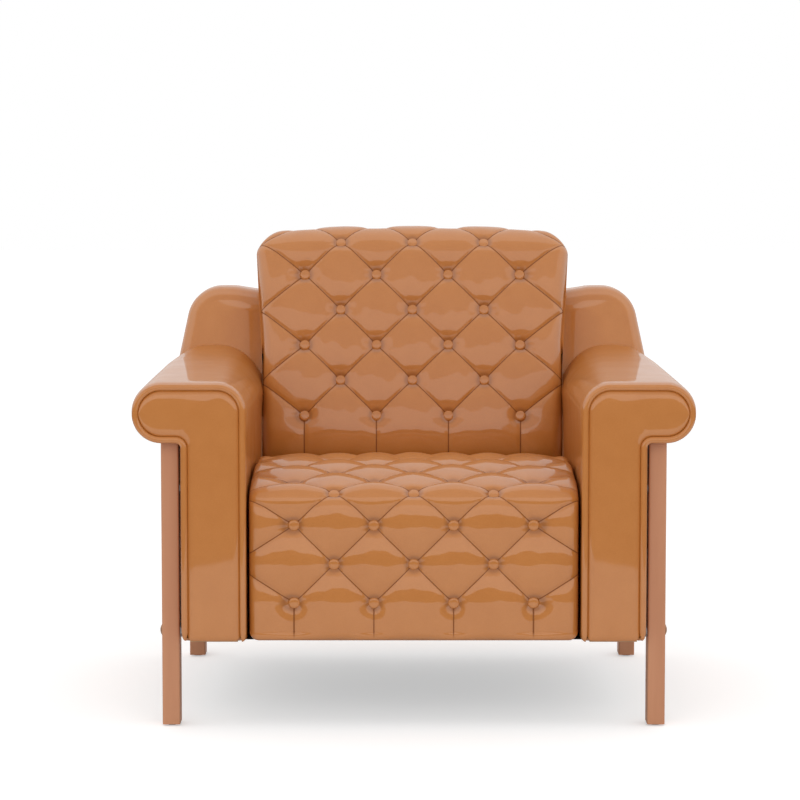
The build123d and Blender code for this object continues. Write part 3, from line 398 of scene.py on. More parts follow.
def leather_finish(name, quilted):
    """Glossy tan leathercloth: dyed base, clear top coat, and thin folds where it is quilted.

    A point attribute blends the colour towards a dark brown: painted shade in the grooves, in a
    ring round each button and under the buttons' rims. On a quilted piece the fold lines are the
    whole numbers of its diamond map. There the colour is darker as painted shade in the fold, the
    coat is gone, the surface is rough, and the bump presses in a narrow groove.
    """
    finish, tree, shader = new_finish(name)
    grain = put(tree, "ShaderNodeGroup", {"node_tree": leather})
    tone = ranged(tree, grain.outputs["Dye"], 0.25, 0.78)
    colour = blend_colour(tree, tone, tan_light, tan_dark)
    # A point attribute darkens the colour: painted shade in the grooves, round the buttons and
    # under their rims.
    painted_shade = put(tree, "ShaderNodeAttribute", {"attribute_name": "painted_shade"}).outputs["Fac"]
    colour = blend_colour(tree, measure(tree, "MULTIPLY", painted_shade, 0.6), colour, painted_shade_brown)
    height = measure(tree, "MULTIPLY", grain.outputs["Pebble"], 0.05)
    edge_on = put(tree, "ShaderNodeLayerWeight", Blend=0.5).outputs["Facing"]
    coat = ranged(tree, edge_on, 0.45, 0.95, 1.0, 0.38)
    rough = ranged(tree, grain.outputs["Gloss"], 0.3, 0.7, 0.40, 0.50)
    if quilted:
        chart = put(tree, "ShaderNodeUVMap", {"uv_map": "diamonds"}).outputs[0]
        panel = put(tree, "ShaderNodeAttribute", {"attribute_name": "panel"}).outputs["Fac"]
        ways = put(tree, "ShaderNodeSeparateXYZ", Vector=chart).outputs[:2]
        apart = [measure(tree, "SUBTRACT", way, measure(tree, "ROUND", way)) for way in ways]
        near = measure(tree, "MINIMUM", *[measure(tree, "ABSOLUTE", way) for way in apart])
        # Mask of the fold lines: there the colour is blended to the dark brown, as painted shade in
        # the fold.
        line = ranged(tree, near, 0.002, 0.013, 1.0, 0.0, kind="SMOOTHSTEP")
        line = measure(tree, "MULTIPLY", line, panel)
        colour = blend_colour(tree, measure(tree, "MULTIPLY", line, 0.85), colour, painted_shade_brown)
        height = measure(tree, "SUBTRACT", height, measure(tree, "MULTIPLY", line, 0.4))
        coat = measure(tree, "MULTIPLY", coat, measure(tree, "SUBTRACT", 1.0, line))
        rough = measure(tree, "MULTIPLY_ADD", line, 0.45, rough)
    dress(tree, shader, Base_Color=colour, Roughness=rough, Coat_Weight=coat,
          Specular_IOR_Level=0.45, Coat_Roughness=0.035, Coat_IOR=1.65)
    relief(tree, shader, height, strength=0.5, distance=0.0012)
    return finish


quilted_leather = leather_finish("quilted_leather", quilted=True)
plain_leather = leather_finish("plain_leather", quilted=False)


def trace(start, heading, runs):
    """Chain of straight and bent runs in a plane, each (length, turn in degrees, steps).

    On a run the heading turns evenly, so a point is the start plus the length times the mean of
    the unit headings, which for a turn is a circular arc. Gives the points, their left-hand
    normals, the lengths up to them, and the last point.
    """
    spot, angle, done = np.asarray(start, float), np.radians(heading), 0.0
    points, angles, lengths = [], [], []
    for length, turn, steps in runs:
        t, bend = np.linspace(0, 1, steps + 1), np.radians(turn)
        if abs(turn) < 1e-9:
            walk = t[:, None] * length * np.array((np.cos(angle), np.sin(angle)))
        else:
            walk = length / bend * np.stack([np.sin(angle + bend * t) - np.sin(angle),
                                             np.cos(angle) - np.cos(angle + bend * t)], axis=-1)
        points.append(spot + walk[:-1])
        angles.append(angle + bend * t[:-1])
        lengths.append(done + length * t[:-1])
        spot, angle, done = spot + walk[-1], angle + bend, done + length
    points, angles, lengths = map(np.concatenate, (points, angles, lengths))
    return points, np.stack([-np.sin(angles), np.cos(angles)], axis=-1), lengths, spot


def diamonds(x, s, sizes):
    """Diamond coordinates a and b of a tufted panel, and the way past its first or last row.

    a and b are the place across, in pitches, plus and minus half the row number. They are whole
    on the folds, and both are whole at a button. Past the first and last row the row number
    stands still, so the folds run straight on as pleats. Outside the last button the place
    across is eased, so that the side pleats meet the edge at a flatter angle.
    """
    pitch, along = sizes["pitch"], s - sizes["first"]
    row = np.clip(along / sizes["row_pitch"], 0, sizes["rows"] - 1)
    outer = 1.5 * pitch
    beyond = np.maximum(np.abs(x) - outer, 0) * sizes["side_ease"]
    eased = np.sign(x) * (np.minimum(np.abs(x), outer) + beyond)
    a = eased / pitch - 0.5 + row / 2
    b = eased / pitch - 0.5 - row / 2
    return a, b, np.abs(along - row * sizes["row_pitch"])


def tufting(x, a, b, past, sizes):
    """Height of a tufted panel, and a mask of painted shade in its grooves and round its buttons.

    Each diamond swells as the product of two parabolas, to a power under one so that it is full
    near its folds. Folds are narrow bell-shaped grooves. Each button pulls in a funnel: a cone
    with a rounded rim, a steeper bell-shaped lip close to the button, and eight small gathers
    round it. Crossed sine waves make the leather slightly uneven. Past the first and last row
    the swell fades, so that the pleats run out flat.
    """
    pitch, row_pitch, pit_radius = sizes["pitch"], sizes["row_pitch"], sizes["pit_radius"]
    last_button, side_fade, pleat_fade = 0.245, 0.02, 0.060
    groove_half, rim, lip_depth, lip_radius = 0.003, 0.004, 0.0025, 0.009
    shade_ring_radius, shade_ring_half = 0.0108, 0.0044
    gather_depth, gather_radius, gather_half = 0.00028, 0.0155, 0.0055

    da, db = a - np.round(a), b - np.round(b)
    domes = (1 - (1 - 2 * np.abs(da)) ** 2) * (1 - (1 - 2 * np.abs(db)) ** 2)
    swell = domes ** sizes["fullness"]
    line = 1 / np.sqrt(1 / pitch ** 2 + 1 / (2 * row_pitch) ** 2)
    groove = np.exp(-(np.minimum(np.abs(da), np.abs(db)) * line / groove_half) ** 2)
    sideways, upward = pitch * (da + db) / 2, row_pitch * (da - db)
    from_button = np.sqrt(sideways ** 2 + upward ** 2 + past ** 2)
    held = np.clip((last_button - np.abs(x)) / side_fade, 0, 1)
    cone = rim * np.logaddexp(0, (pit_radius - from_button) / rim) / pit_radius
    lip = lip_depth * np.exp(-(from_button / lip_radius) ** 2)
    pit = (sizes["dimple"] * cone + lip) * held
    # A ring round each button where the colour is darkened: painted shade.
    ring = np.exp(-((from_button - shade_ring_radius) / shade_ring_half) ** 2) * held
    fade = 0.5 + 0.5 * np.exp(-(past / pleat_fade) ** 2)
    near_lip = np.exp(-((from_button - gather_radius) / gather_half) ** 2)
    gathers = gather_depth * np.cos(8 * np.arctan2(upward, sideways) + 0.4) * near_lip * held
    along = row_pitch * (a - b) + past
    uneven = 0.00017 * np.sin(83 * x + 2 * np.sin(31 * along)) * np.sin(67 * along + 1.7)
    ripple = 0.00007 * np.sin(151 * x + 5) * np.sin(137 * along + 2 * np.sin(43 * x))
    padding = (sizes["rise"] * (swell - 1) - sizes["fold"] * groove) * fade
    height = padding - pit + gathers + (uneven + ripple)
    # The second value is painted shade: a little along the grooves, more in a ring round each
    # button.
    return height, np.clip(0.12 * groove * fade + 0.75 * ring, 0, 1)


def cushion(name, side_view, half_width, sizes, side_radius, length, edge_drop):
    """Closed cushion: a side-view loop carried across the width and drawn in round both sides.

    Near a side the loop shrinks along its normals as a quarter circle, and past it the loop
    closes to its middle as the plain side. The tufting is added along the normals on the
    panel, that is for lengths between zero and the panel's own, and fades out round the sides.
    Across the width the panel falls off by the square of the place across times the crown, and
    by its eighth power times the edge drop.
    """
    loop, normals, s = side_view
    flat_steps, bend_steps, end_run = 217, 9, 0.012
    bend = np.linspace(0, np.pi / 2, bend_steps + 1)[1:]
    level, flat = np.zeros(flat_steps), np.linspace(-1, 1, flat_steps)
    reach = np.concatenate([-np.ones(bend_steps), flat, np.ones(bend_steps)])
    extra = np.concatenate([-np.sin(bend[::-1]), level, np.sin(bend)]) * side_radius
    inset = np.concatenate([1 - np.cos(bend[::-1]), level, 1 - np.cos(bend)]) * side_radius
    x = reach[None, :] * (half_width[:, None] - side_radius) + extra[None, :]

    a, b, past = diamonds(x, s[:, None], sizes)
    height, painted_shade = tufting(x, a, b, past, sizes)
    ends = np.clip(s / end_run, 0, 1) * np.clip((length - s) / end_run, 0, 1)
    panel = np.repeat(ends[:, None], len(reach), 1)
    sides = 1 - 0.75 * (inset / side_radius)
    outward = np.abs(x) / half_width[:, None]
    swell = height * panel * sides[None, :]
    swell = swell - (sizes["crown"] * outward ** 2 + edge_drop * outward ** 8) * panel
    flat_loop = loop[:, None, :] + normals[:, None, :] * (swell - inset[None, :])[..., None]

    middle = loop.mean(0)
    shrink = np.array((0.0, 0.25, 0.55, 0.85))
    left = middle + (flat_loop[:, :1] - middle) * shrink[None, :, None]
    right = middle + (flat_loop[:, -1:] - middle) * shrink[None, ::-1, None]
    points = np.concatenate([left, flat_loop, right], axis=1)
    rim = half_width.mean() + (half_width - half_width.mean())[:, None] * shrink[None, :]
    across = np.concatenate([-rim, x, rim[:, ::-1]], axis=1)
    piece = skin(name, np.concatenate([across[..., None], points], axis=-1), close_rows=True)

    def widen(field):
        return np.pad(field, ((0, 0), (len(shrink), len(shrink))), mode="edge")

    map_uv(piece, "diamonds", widen(a), widen(b))
    # The painted shade and the panel's extent, as point attributes.
    for label, field in (("painted_shade", painted_shade * panel), ("panel", panel)):
        layer = piece.data.attributes.new(label, "FLOAT", "POINT")
        layer.data.foreach_set("value", widen(field).astype(np.float32).ravel())
    return piece


front = cad_box[0][1]
quarter = np.pi / 2
seat_front, seat_bottom, seat_half = front + 0.006, 0.1445, 0.2705
hem_radius, nose_radius, top_radius, rear_drop = 0.016, 0.042, 1.173, 0.200
nose_start, nose_turn = 0.36664, 80
top_turn = 25 - np.degrees(hem_radius / top_radius)
seat_runs = [(hem_radius * quarter, -90, 12),
             (nose_start - seat_bottom - hem_radius, 0, 82),
             (nose_radius * np.radians(nose_turn), -nose_turn, 26),
             (top_radius * np.radians(top_turn), -top_turn, 200),
             (hem_radius * quarter, -90, 10),
             (rear_drop, 0, 14)]
seat_loop, seat_normals, seat_s, seat_end = trace((seat_front + hem_radius, seat_bottom), 180,
                                                  seat_runs)
# The underside closes the loop. Its length along the panel is set far past the panel's end.
base_steps, far_past = 13, 2.0
base = np.array((seat_end[0] - 0.012, seat_bottom))
base_share = np.linspace(0, 1, base_steps + 1)[:-1, None]
seat_loop = np.concatenate([seat_loop, base + (seat_loop[0] - base) * base_share])
seat_normals = np.concatenate([seat_normals, np.repeat([[0.0, -1.0]], base_steps, 0)])
seat_s = np.concatenate([seat_s - (hem_radius * quarter - hem_radius) - 0.0015,
                         np.full(base_steps, far_past)])
# Below the first row the panel is drawn back to the hem by the square of the way down.
first_row = 0.0615
below_row = np.clip(first_row - np.maximum(seat_s, 0), 0, first_row)
seat_loop[:, 0] += 0.9 * below_row ** 2 * (seat_s > -0.02)
# The swells stand higher on the top than on the front.
top_run = (0.235, 0.315)
seat_sizes = dict(pitch=0.131, row_pitch=0.0643, first=first_row, rows=11, side_ease=0.65,
                  rise=np.interp(seat_s, top_run, (0.0076, 0.0116))[:, None], fold=0.0010,
                  dimple=0.0066, pit_radius=0.0200, fullness=0.90, crown=0.004)
seat_view = seat_loop, seat_normals, seat_s
seat = cushion("seat_cushion", seat_view, np.full(len(seat_s), seat_half), seat_sizes,
               side_radius=0.0155, length=0.7911, edge_drop=0.0)
seat_piece(seat, quilted_leather, "faux_leather", "seat_cover", "seat_side_borders", "seat_foam")


# Buttons: metal shells covered with the same leather, pressed round and slightly domed.
# Twine through the foam ties each one deep into the panel, in rows of four and three.
def button_group(name, spots, normals, tilts, node):
    """Buttons as one mesh: a domed cap with a rolled rim, turned about each place's own normal.

    The profile runs from the middle of the dome out to the rim and back under it.
    """
    radius = np.array((0.0, 0.0024, 0.0048, 0.0066, 0.0078, 0.0087, 0.0092, 0.0094, 0.0092,
                       0.0085, 0.0070))
    rise = np.array((0.0026, 0.00255, 0.0024, 0.0021, 0.0017, 0.0010, 0.0002, -0.0010, -0.0021,
                     -0.0030, -0.0036))
    turn = np.linspace(0, 2 * np.pi, 28, endpoint=False)
    side = np.array((1.0, 0.0, 0.0))
    ring = (radius[:, None, None] * (np.cos(turn)[None, :, None] * side
                                     + np.sin(turn)[None, :, None] * tilts[:, None, None, :])
            + rise[:, None, None] * normals[:, None, None, :])
    piece = skin(name, spots[:, None, None, :] + ring, close_columns=True, flip=True)
    # Under the rim the colour is darkened: painted shade.
    layer = piece.data.attributes.new("painted_shade", "FLOAT", "POINT")
    painted_rim_shade = np.clip((0.0002 - rise) / 0.002, 0, 1)
    edge = np.tile(np.repeat(painted_rim_shade, len(turn)), len(spots))
    layer.data.foreach_set("value", edge.astype(np.float32))
    seat_piece(piece, plain_leather, "faux_leather", node)


def button_spots(side_view, sizes, depth, half_width):
    """Places of the buttons on a side-view loop: rows of four and three, sunk below the crests.

    The depth is a table along the loop, and the crown's fall across the width is added to it.
    """
    loop, normals, s = side_view
    counts = [4 - k % 2 for k in range(sizes["rows"])]
    row = np.repeat(np.arange(sizes["rows"]), counts)
    across = np.concatenate([(np.arange(count) - (count - 1) / 2) * sizes["pitch"]
                             for count in counts])
    here = sizes["first"] + row * sizes["row_pitch"]
    order = np.argsort(s, kind="stable")
    y, z, ny, nz = (np.interp(here, s[order], field[order]) for field in (*loop.T, *normals.T))
    sink = np.interp(here, *depth) + sizes["crown"] * (across / half_width) ** 2
    out = np.stack([np.zeros_like(ny), ny, nz], axis=-1)
    out /= np.linalg.norm(out, axis=-1, keepdims=True)
    spots = np.stack([across, y, z], axis=-1) - out * sink[:, None]
    return spots, out, np.cross(out, (1.0, 0.0, 0.0))


seat_sink = (top_run, (0.0128, 0.0168))
button_group("seat_button_caps", *button_spots(seat_view, seat_sizes, seat_sink, seat_half),
             "seat_buttons")


# Back cushion: the same tufted panel over the front and top of a boxed foam cushion, leaning
# on the back shell, with plain sides and a plain rear.
back_up = np.array((np.sin(rake), np.cos(rake)))
back_base = np.array((0.10031, 0.250))
low_edge, top_edge, rear_edge = 0.030, 0.060, 0.030
face_run, depth_run = 0.52646, 0.106
top_flat = depth_run - top_edge - rear_edge
back_runs = [(face_run - low_edge, 0, 200),
             (top_edge * quarter, -90, 44),
             (top_flat, 0, 8),
             (rear_edge * quarter, -90, 14),
             (face_run + top_edge - rear_edge - low_edge, 0, 22),
             (low_edge * quarter, -90, 8),
             (depth_run - 2 * low_edge, 0, 8),
             (low_edge * quarter, -90, 8)]
back_loop, back_normals, back_s, _ = trace(back_base + back_up * low_edge, 90 - 15, back_runs)
back_s = back_s + low_edge
back_length = face_run + top_edge * quarter + top_flat + 0.02
# The width follows a table down from the top, and the top corners are quarter ellipses.
below_top = face_run + top_edge - (back_loop - back_base) @ back_up
back_half = np.interp(below_top, (0.058, 0.083, 0.143, 0.220, 0.400),
                      (0.287, 0.2845, 0.279, 0.2745, 0.2742))
in_corner = 1 - np.clip(below_top / 0.058, 0, 1)
back_half = back_half - 0.037 * (1 - np.sqrt(1 - in_corner ** 2))
# The foot curves back by the square of the way down, and there the sides fall away more.
foot = np.clip(0.212 - back_s, 0, 0.08)
back_loop = back_loop - back_normals * (5.0 * foot ** 2 * (back_s < 0.22))[:, None]
back_fall = 0.009 + 0.010 * np.clip((0.42 - back_s) / 0.20, 0, 1)[:, None]
back_sizes = dict(pitch=0.131, row_pitch=0.0655, first=0.2226, rows=7, side_ease=0.80,
                  rise=0.0042, fold=0.0010, dimple=0.0070, pit_radius=0.0280, fullness=0.40,
                  crown=0.004)
back_view = back_loop, back_normals, back_s
back = cushion("back_cushion", back_view, back_half, back_sizes, side_radius=0.020,
               length=back_length, edge_drop=back_fall)
seat_piece(back, quilted_leather, "faux_leather", "back_cushion_cover", "back_side_borders",
           "back_rear_panel", "back_cushion_foam")
back_sink = ((0.0, 1.0), (0.0099, 0.0099))
button_group("back_button_caps",
             *button_spots(back_view, back_sizes, back_sink, half_width=0.2785), "back_buttons")


# Arm covers: leather over wadding, pulled over the rolled arm from the inside round to the
# outside, rising and drawing in towards the back, and stapled under the bottom rail.
arm_inner, arm_outer, arm_end = 0.2745, 0.381, 0.460
arm_top, roll_under, arm_base = 0.570, 0.473, 0.144
front_corner, rear_corner, arm_fillet = 0.047, 0.078, 0.008
both_sides = ((1, "right"), (-1, "left"))


def arm_path(corner_radius, steps, rise=0.0, tuck=0.0, inset=0.0):
    """Outline of the right arm from the front: up the inside, over the roll, down the outside.

    Straight runs joined by arcs, all moved inwards by inset. Rise lifts the top, and tuck pulls
    in the roll. Both ends are turned under.
    """
    hem, tail = 0.006, 0.010
    inner, outer, end = arm_inner + inset, arm_outer - inset, arm_end - tuck - inset
    top, under = arm_top + rise - inset, roll_under + inset
    corner, roll, fillet = corner_radius - inset, 0.0475 - inset, arm_fillet + inset
    runs = [(tail, 0, 3), (hem * quarter, -90, 5), (top - corner - arm_base - hem, 0, steps),
            (corner * quarter, -90, steps // 2), (end - roll - inner - corner, 0, steps // 3),
            (roll * quarter, -90, steps // 2), (top - under - 2 * roll, 0, 2),
            (roll * quarter, -90, steps // 2), (end - roll - outer - fillet, 0, 4),
            (fillet * quarter, 90, 6), (under - fillet - arm_base - hem, 0, steps),
            (hem * quarter, -90, 5), (tail, 0, 3)]
    return trace((inner + hem + tail, arm_base), 180, runs)[:2]


def shell_front_at(height):
    """Depth of the raked front of the back shell at a height."""
    return 0.32139 + (height - 0.66436) * np.tan(rake)


# Three outlines: plain at the front, arched further back, and raised and drawn in at the rear.
# The arch's top bows down to both sides by the square of the way from its middle.
plain_section, plain_normals = arm_path(front_corner, 60)
arched_section, arched_normals = arm_path(rear_corner, 60)
swept_section, _ = arm_path(rear_corner, 60, rise=0.013, tuck=0.022)
bow_depth, arch_middle, arch_half = 0.007, 0.372, 0.075
bow = bow_depth * np.clip(((arched_section[:, 0] - arch_middle) / arch_half) ** 2, 0, 1.3)
bow = bow * np.clip((arched_section[:, 1] - 0.485) / 0.05, 0, 1)
arched_section[:, 1] -= bow
swept_section[:, 1] -= bow
cover_front = front + 0.0095
sweep_start, sweep_end = front + 0.540, shell_front_at(0.583)
ease = np.concatenate([np.linspace(0, 0.03, 12)[:-1], np.linspace(0.03, 0.95, 70),
                       np.linspace(0.95, 1, 12)[1:]])

# The rear end runs on along the quarter circle of the back shell's front edge, by the distance
# inside the shell's outline, so that no slit opens between them.
shell_edge, shell_hem, shoulder_side, shoulder_slant = 0.024, 0.150, 0.452, 0.2047
shoulder_corner, corner_x, corner_z = 0.045, 0.397, 0.518
puff_height, front_tuck, rear_tuck, overlap = 0.0022, 0.0050, 0.0035, 0.0045
end_x, end_z = swept_section.T
shell_side = np.where(end_z < roll_under, arm_outer,
                      shoulder_side - shoulder_slant * (end_z - roll_under))
inside = np.minimum(shell_side - end_x, np.where(end_x > arm_outer, end_z - roll_under, 1.0))
inside = np.where((end_x > corner_x) & (end_z < corner_z),
                  shoulder_corner - np.hypot(end_x - corner_x, end_z - corner_z), inside)
edge_here = shell_edge * np.clip((end_z - shell_hem) / 0.05, 0.1, 1)
tip = 1 - np.clip((inside + rear_tuck) / edge_here, 0, 1)
far = shell_front_at(plain_section[:, 1]) + overlap + shell_edge * (1 - np.sqrt(1 - tip ** 2))

# The wadding puffs up the roll and the outside, and is drawn in towards both ends.
y = cover_front + ease[:, None] * (far - cover_front)[None, :]
sweep = np.clip((y - sweep_start) / (sweep_end - sweep_start), 0, 1)[..., None] ** 2
arch = np.clip((y - cover_front) / (sweep_end - cover_front), 0, 1)[..., None] ** 1.4
section = (plain_section + (arched_section - plain_section) * arch
           + (swept_section - arched_section) * sweep)
out = plain_normals + (arched_normals - plain_normals) * arch
upper = np.clip((section[..., 1] - 0.47) / 0.05, 0, 1)
outside = (plain_section[:, 0] > 0.375) * np.clip((plain_section[:, 1] - 0.146) / 0.02, 0, 1)
to_front, to_rear = y - cover_front, far[None, :] - y
puff = (puff_height * np.maximum(upper, outside) - front_tuck * np.exp(-to_front / 0.006)
        - rear_tuck * np.exp(-to_rear / 0.007))
section = section + out * puff[..., None]
for side, name in both_sides:
    points = np.stack([side * section[..., 0], y, section[..., 1]], axis=-1)
    piece = skin(f"{name}_arm_skin", points, flip=side < 0)
    thicken(piece, 0.004)
    seat_piece(piece, plain_leather, "faux_leather", f"{name}_arm_cover", f"{name}_arm_roll_foam")


# Arm facings: leather panels over a thin pad on the front board, cut to the arm's outline.
# Their edges are tucked behind the welt and stapled there.
def facing_surface():
    """Padded panel: straight lines across the arm's outline, from its upper to its lower side.

    Both sides are traced from the foot to the tip of the roll with as many steps on each run, so
    that they match. The rise is a quarter ellipse at the edge plus a slow sine swell across.
    """
    inset, foot, base = 0.0102, 0.010, 0.1455
    edge_rise, edge_run, swell_rise, swell_run = 0.0062, 0.011, 0.0024, 0.043
    inner, outer, end = arm_inner + inset, arm_outer - inset, arm_end - inset
    top, under = arm_top - inset, roll_under + inset
    corner, fillet, roll = front_corner - inset, arm_fillet + inset, (top - under) / 2
    upper, _, _, tip = trace((inner + foot, base), 180, [
        (foot * quarter, -90, 6), (top - corner - base - foot, 0, 60), (corner * quarter, -90, 18),
        (end - roll - inner - corner, 0, 14), (roll * quarter, -90, 24)])
    lower, _, _, _ = trace((outer - foot, base), 0, [
        (foot * quarter, 90, 6), (under - fillet - base - foot, 0, 60), (fillet * quarter, -90, 18),
        (end - roll - outer - fillet, 0, 14), (roll * quarter, 90, 24)])
    upper, lower = np.concatenate([upper, [tip]]), np.concatenate([lower, [tip]])
    across = (1 - np.cos(np.linspace(0, np.pi, 37)))[None, :] / 2
    spot = upper[:, None] + (lower - upper)[:, None] * across[..., None]
    run = np.minimum(across, 1 - across) * np.linalg.norm(lower - upper, axis=-1)[:, None]
    run = np.minimum(run, spot[..., 1] - base)
    rise = edge_rise * np.sqrt(1 - (1 - np.clip(run / edge_run, 0, 1)) ** 2)
    rise = rise + swell_rise * np.sin(quarter * np.clip(run / swell_run, 0, 1))
    return spot, rise


facing_spot, facing_rise = facing_surface()
facing_depth = front + 0.0080 - facing_rise
for side, name in both_sides:
    points = np.stack([side * facing_spot[..., 0], facing_depth, facing_spot[..., 1]], axis=-1)
    piece = skin(f"{name}_facing_pad", points, flip=side < 0)
    thicken(piece, 0.003)
    seat_piece(piece, plain_leather, "faux_leather", f"{name}_arm_facing")


# Welts: fat piping, a cord wrapped in leather, sewn round each arm front between the facing and
# the arm cover. It is open at the bottom, where both ends are tucked in.
welt_radius, cut_off, cap_steps = 0.0055, 5, 6
welt_path, welt_normals = (line[cut_off:-cut_off]
                           for line in arm_path(front_corner, 90, inset=welt_radius))
turn = np.linspace(0, 2 * np.pi, 20, endpoint=False)
taper = np.linspace(0, np.pi / 2, cap_steps + 1)
cap = np.concatenate([np.sin(taper)[:-1], np.ones(len(welt_path) - 2 * cap_steps),
                      np.cos(taper)[1:]])
sideways = welt_radius * np.cos(turn)[None, :] * cap[:, None]
forward = welt_radius * np.sin(turn)[None, :] * cap[:, None]
section = welt_path[:, None, :] + welt_normals[:, None, :] * sideways[..., None]
for side, name in both_sides:
    points = np.stack([side * section[..., 0], front + welt_radius - forward, section[..., 1]],
                      axis=-1)
    piece = skin(f"{name}_welt_cord", points, close_columns=True, flip=side < 0)
    seat_piece(piece, plain_leather, "faux_leather", f"{name}_arm_welt")


# Back shell: leather over a padded wooden frame, sewn along its front edge, with a shoulder on
# each side that swells out over the end of the arm roll.
shell_low, shell_top, shell_depth, top_half = 0.144, 0.688, 0.093, 0.408
top_corner, low_corner = 0.064, 0.010


def shell_outline():
    """Outline of the shell from the front: up the side, over the roll, up the shoulder, across."""
    corners = np.array([(0.0, shell_low), (-arm_outer, shell_low), (-arm_outer, roll_under),
                        (-shoulder_side, roll_under), (-top_half, shell_top),
                        (top_half, shell_top), (shoulder_side, roll_under),
                        (arm_outer, roll_under), (arm_outer, shell_low)])
    half_radii = (low_corner, low_corner, shoulder_corner, top_corner)
    radii = np.array((0.0, *half_radii, *half_radii[::-1]))
    ahead = np.roll(corners, -1, 0) - corners
    span = np.linalg.norm(ahead, axis=-1)
    heading = np.degrees(np.arctan2(ahead[:, 1], ahead[:, 0]))
    turns = (heading - np.roll(heading, 1) + 180) % 360 - 180
    cut = radii * np.tan(np.radians(np.abs(turns)) / 2)
    runs = []
    for index in range(len(corners)):
        if index:
            runs.append((radii[index] * np.radians(abs(turns[index])), turns[index], 16))
        straight = span[index] - cut[index] - cut[(index + 1) % len(corners)]
        runs.append((straight, 0, max(int(straight / 0.010), 3)))
    return trace(corners[0], 180, runs)[:2]


# Rows go from the middle of the front face, round the front edge, over the thickness and round
# the rear edge to the middle of the rear. Both edges are quarter circles.
shell_line, shell_normals = shell_outline()
face_rows, edge_rows, wall_rows = 39, 12, 10
seam_row, front_rows, rear_rows = face_rows + 5, face_rows + 7, face_rows + 27
bend = np.linspace(0, np.pi / 2, edge_rows)
round_in, round_out = shell_edge * (1 - np.sin(bend)), shell_edge * (1 - np.cos(bend))
wall = np.linspace(shell_edge, shell_depth - shell_edge, wall_rows + 2)[1:-1]
face = np.linspace(1.0, 0.0, face_rows + 1)[:-1] ** 1.5
inset = np.concatenate([np.full(face_rows, shell_edge), round_in, np.zeros(wall_rows), round_out,
                        np.full(face_rows, shell_edge)])
deep = np.concatenate([np.zeros(face_rows), round_out, wall, shell_depth - round_in,
                       np.full(face_rows, shell_depth)])
to_middle = np.concatenate([face, np.zeros(len(inset) - 2 * face_rows), face[::-1]])
row = np.arange(len(inset))[:, None]
low_ease = np.clip((shell_line[:, 1] - shell_hem) / 0.05, 0.1, 1)
edge_line = shell_line[None] - shell_normals[None] * (inset[:, None] * low_ease)[..., None]
shell_middle = np.array((0.0, 0.560))
flat = edge_line + (shell_middle - edge_line) * to_middle[:, None, None]

# Both faces bulge with the room to the sides, the bottom and the top, each as one less a falling
# exponential. The top dips between the shoulders, and each shoulder has a parabolic dome.
from_edge = np.clip(np.linalg.norm(flat - edge_line, axis=-1) / 0.05, 0, 1)
widening = np.clip((flat[..., 1] - 0.40) / 0.15, 0, 1)
half = arm_outer + 0.055 * widening ** 2 * (3 - 2 * widening)
room = np.stack([half - np.abs(flat[..., 0]), flat[..., 1] - shell_low, shell_top - flat[..., 1]])
fullness = np.prod(1 - np.exp(-np.maximum(room, 0) / 0.07), axis=0)
bulge = 0.006 * fullness * from_edge ** 2 * (3 - 2 * from_edge)
seam = 0.0012 * np.exp(-((row - seam_row) / 0.7) ** 2)
dip_depth, dip_half, dip_ease = 0.012, 0.20, 0.13
between = 1 - np.clip((np.abs(flat[..., 0]) - dip_half) / dip_ease, 0, 1) ** 2
flat[..., 1] -= dip_depth * between * np.clip((flat[..., 1] - 0.57) / 0.1, 0, 1)
dome_rise, dome_middle, dome_half = 0.010, 0.362, 0.078
dome = np.clip(1 - ((np.abs(flat[..., 0]) - dome_middle) / dome_half) ** 2, 0, 1)
dome = dome_rise * dome * np.clip((flat[..., 1] - 0.470) / 0.05, 0, 1) * from_edge
front_y = shell_front_at(flat[..., 1])
rear_y = 0.41439 + (flat[..., 1] - 0.66436) * np.tan(np.radians(10))
y = front_y + (rear_y - front_y) * (deep / shell_depth)[:, None] + seam
y = y - bulge * (row < front_rows) + bulge * (row > rear_rows) - dome * (row < face_rows)
piece = skin("back_shell_skin", np.stack([flat[..., 0], y, flat[..., 1]], axis=-1),
             close_columns=True)
seat_piece(piece, plain_leather, "faux_leather", "back_shell_cover")


# Studio: a pale floor in a white room, lit by two soft boxes that don't show in the gloss.
# The gloss also shows a dark card, flat on the floor and standing up round the front, and a grey
# panel overhead. The camera doesn't see either of them.
white, black = (1, 1, 1, 1), (0.02, 0.02, 0.02, 1)
floor_finish, tree, shader = new_finish("pale_floor")
seen = put(tree, "ShaderNodeLightPath").outputs["Is Camera Ray"]
dress(tree, shader, Base_Color=(0.82, 0.82, 0.82, 1), Roughness=0.9, Emission_Color=white,
      Emission_Strength=measure(tree, "MULTIPLY", seen, 0.43))
floor_x, floor_y = np.meshgrid((-14.0, 14.0), (-10.0, 18.0))
floor = skin("floor", np.stack([floor_x, floor_y, np.zeros((2, 2))], axis=-1))
floor.data.materials.append(floor_finish)


def gloss_card(name, points, finish_name, roughness, glow):
    """Card of the studio that only shows in gloss, closed round its middle."""
    finish, tree, shader = new_finish(finish_name)
    dress(tree, shader, Base_Color=black, Roughness=roughness, Emission_Color=white,
          Emission_Strength=glow)
    card = skin(name, points, close_columns=True)
    card.data.materials.append(finish)
    card.visible_camera = card.visible_diffuse = False
    card.visible_shadow = card.visible_transmission = False


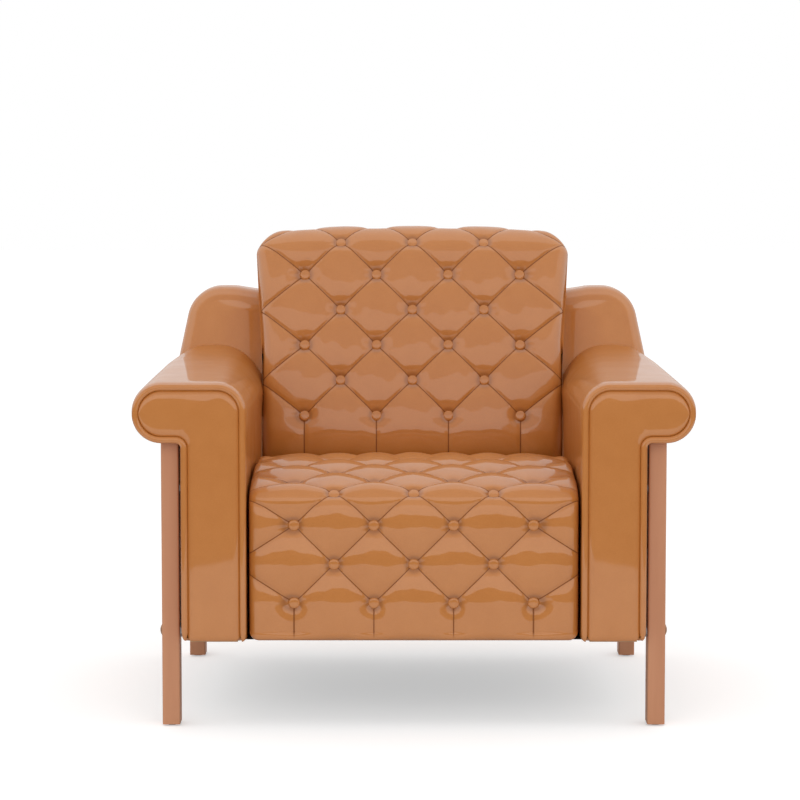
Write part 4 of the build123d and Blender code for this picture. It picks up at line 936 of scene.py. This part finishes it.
turn = np.linspace(0, 2 * np.pi, 64, endpoint=False)
card_foot, card_top = 0.004, 0.85
card_height = np.where(np.sin(turn) < 0.2, card_top, card_foot)
away = np.array((2.3, 4.6, 4.6))[:, None]
rises = np.array((0.0, 0.0, 1.0))[:, None]
surround = (away * np.cos(turn), away * np.sin(turn),
            rises * (card_height - card_foot) + card_foot)
gloss_card("dark_surround", np.stack(surround, axis=-1), "dark_card", roughness=1.0, glow=0.0)
wide, ahead, above = np.array((0.0, 2.4))[:, None], 3.1, 3.3
overhead = np.broadcast_arrays(wide * 1.6 * np.cos(turn), wide * np.sin(turn) - ahead, above)
gloss_card("grey_overhead", np.stack(overhead, axis=-1), "grey_ceiling", roughness=0.5, glow=0.45)

scene = bpy.context.scene
world = bpy.data.worlds.new("studio")
scene.world = world
world.use_nodes = True
tree = world.node_tree
tree.nodes.clear()
rays = put(tree, "ShaderNodeLightPath").outputs
mirrored = measure(tree, "MAXIMUM", rays["Is Glossy Ray"], rays["Is Transmission Ray"])
shown = measure(tree, "MAXIMUM", rays["Is Camera Ray"], mirrored)
room_white = put(tree, "ShaderNodeBackground", Color=white, Strength=1.0)
room_fill = put(tree, "ShaderNodeBackground", Color=white, Strength=0.75)
both = put(tree, "ShaderNodeMixShader", Fac=shown)
tree.links.new(room_fill.outputs[0], both.inputs[1])
tree.links.new(room_white.outputs[0], both.inputs[2])
tree.links.new(both.outputs[0], put(tree, "ShaderNodeOutputWorld").inputs["Surface"])


def soft_box(name, spot, aim, width, height, power):
    """Rectangular studio lamp turned to look at a point, and left out of the gloss."""
    lamp = bpy.data.lights.new(name, "AREA")
    lamp.shape, lamp.size, lamp.size_y, lamp.energy = "RECTANGLE", width, height, power
    holder = bpy.data.objects.new(name, lamp)
    way = np.array(aim, float) - np.array(spot, float)
    holder.location = spot
    holder.rotation_euler = (np.arctan2(np.hypot(way[0], way[1]), -way[2]), 0,
                             np.arctan2(-way[0], way[1]))
    holder.visible_glossy = False
    scene.collection.objects.link(holder)


soft_box("front_box", (0.0, -6.6, 2.9), (0.0, 0.0, 0.45), width=7.0, height=4.4, power=118.0)
soft_box("overhead_box", (0.0, -0.9, 3.4), (0.0, 0.0, 0.4), width=2.6, height=1.6, power=7.0)

pitch_down = np.radians(5.258)
camera = bpy.data.cameras.new("camera")
camera.lens, camera.sensor_width = 137.0, 36.0
viewer = bpy.data.objects.new("camera", camera)
viewer.location = (-0.0226, front - 4.933, 0.9983)
viewer.rotation_euler = (np.pi / 2 - pitch_down, 0, 0)
scene.collection.objects.link(viewer)
scene.camera = viewer
scene.view_settings.view_transform = "Standard"
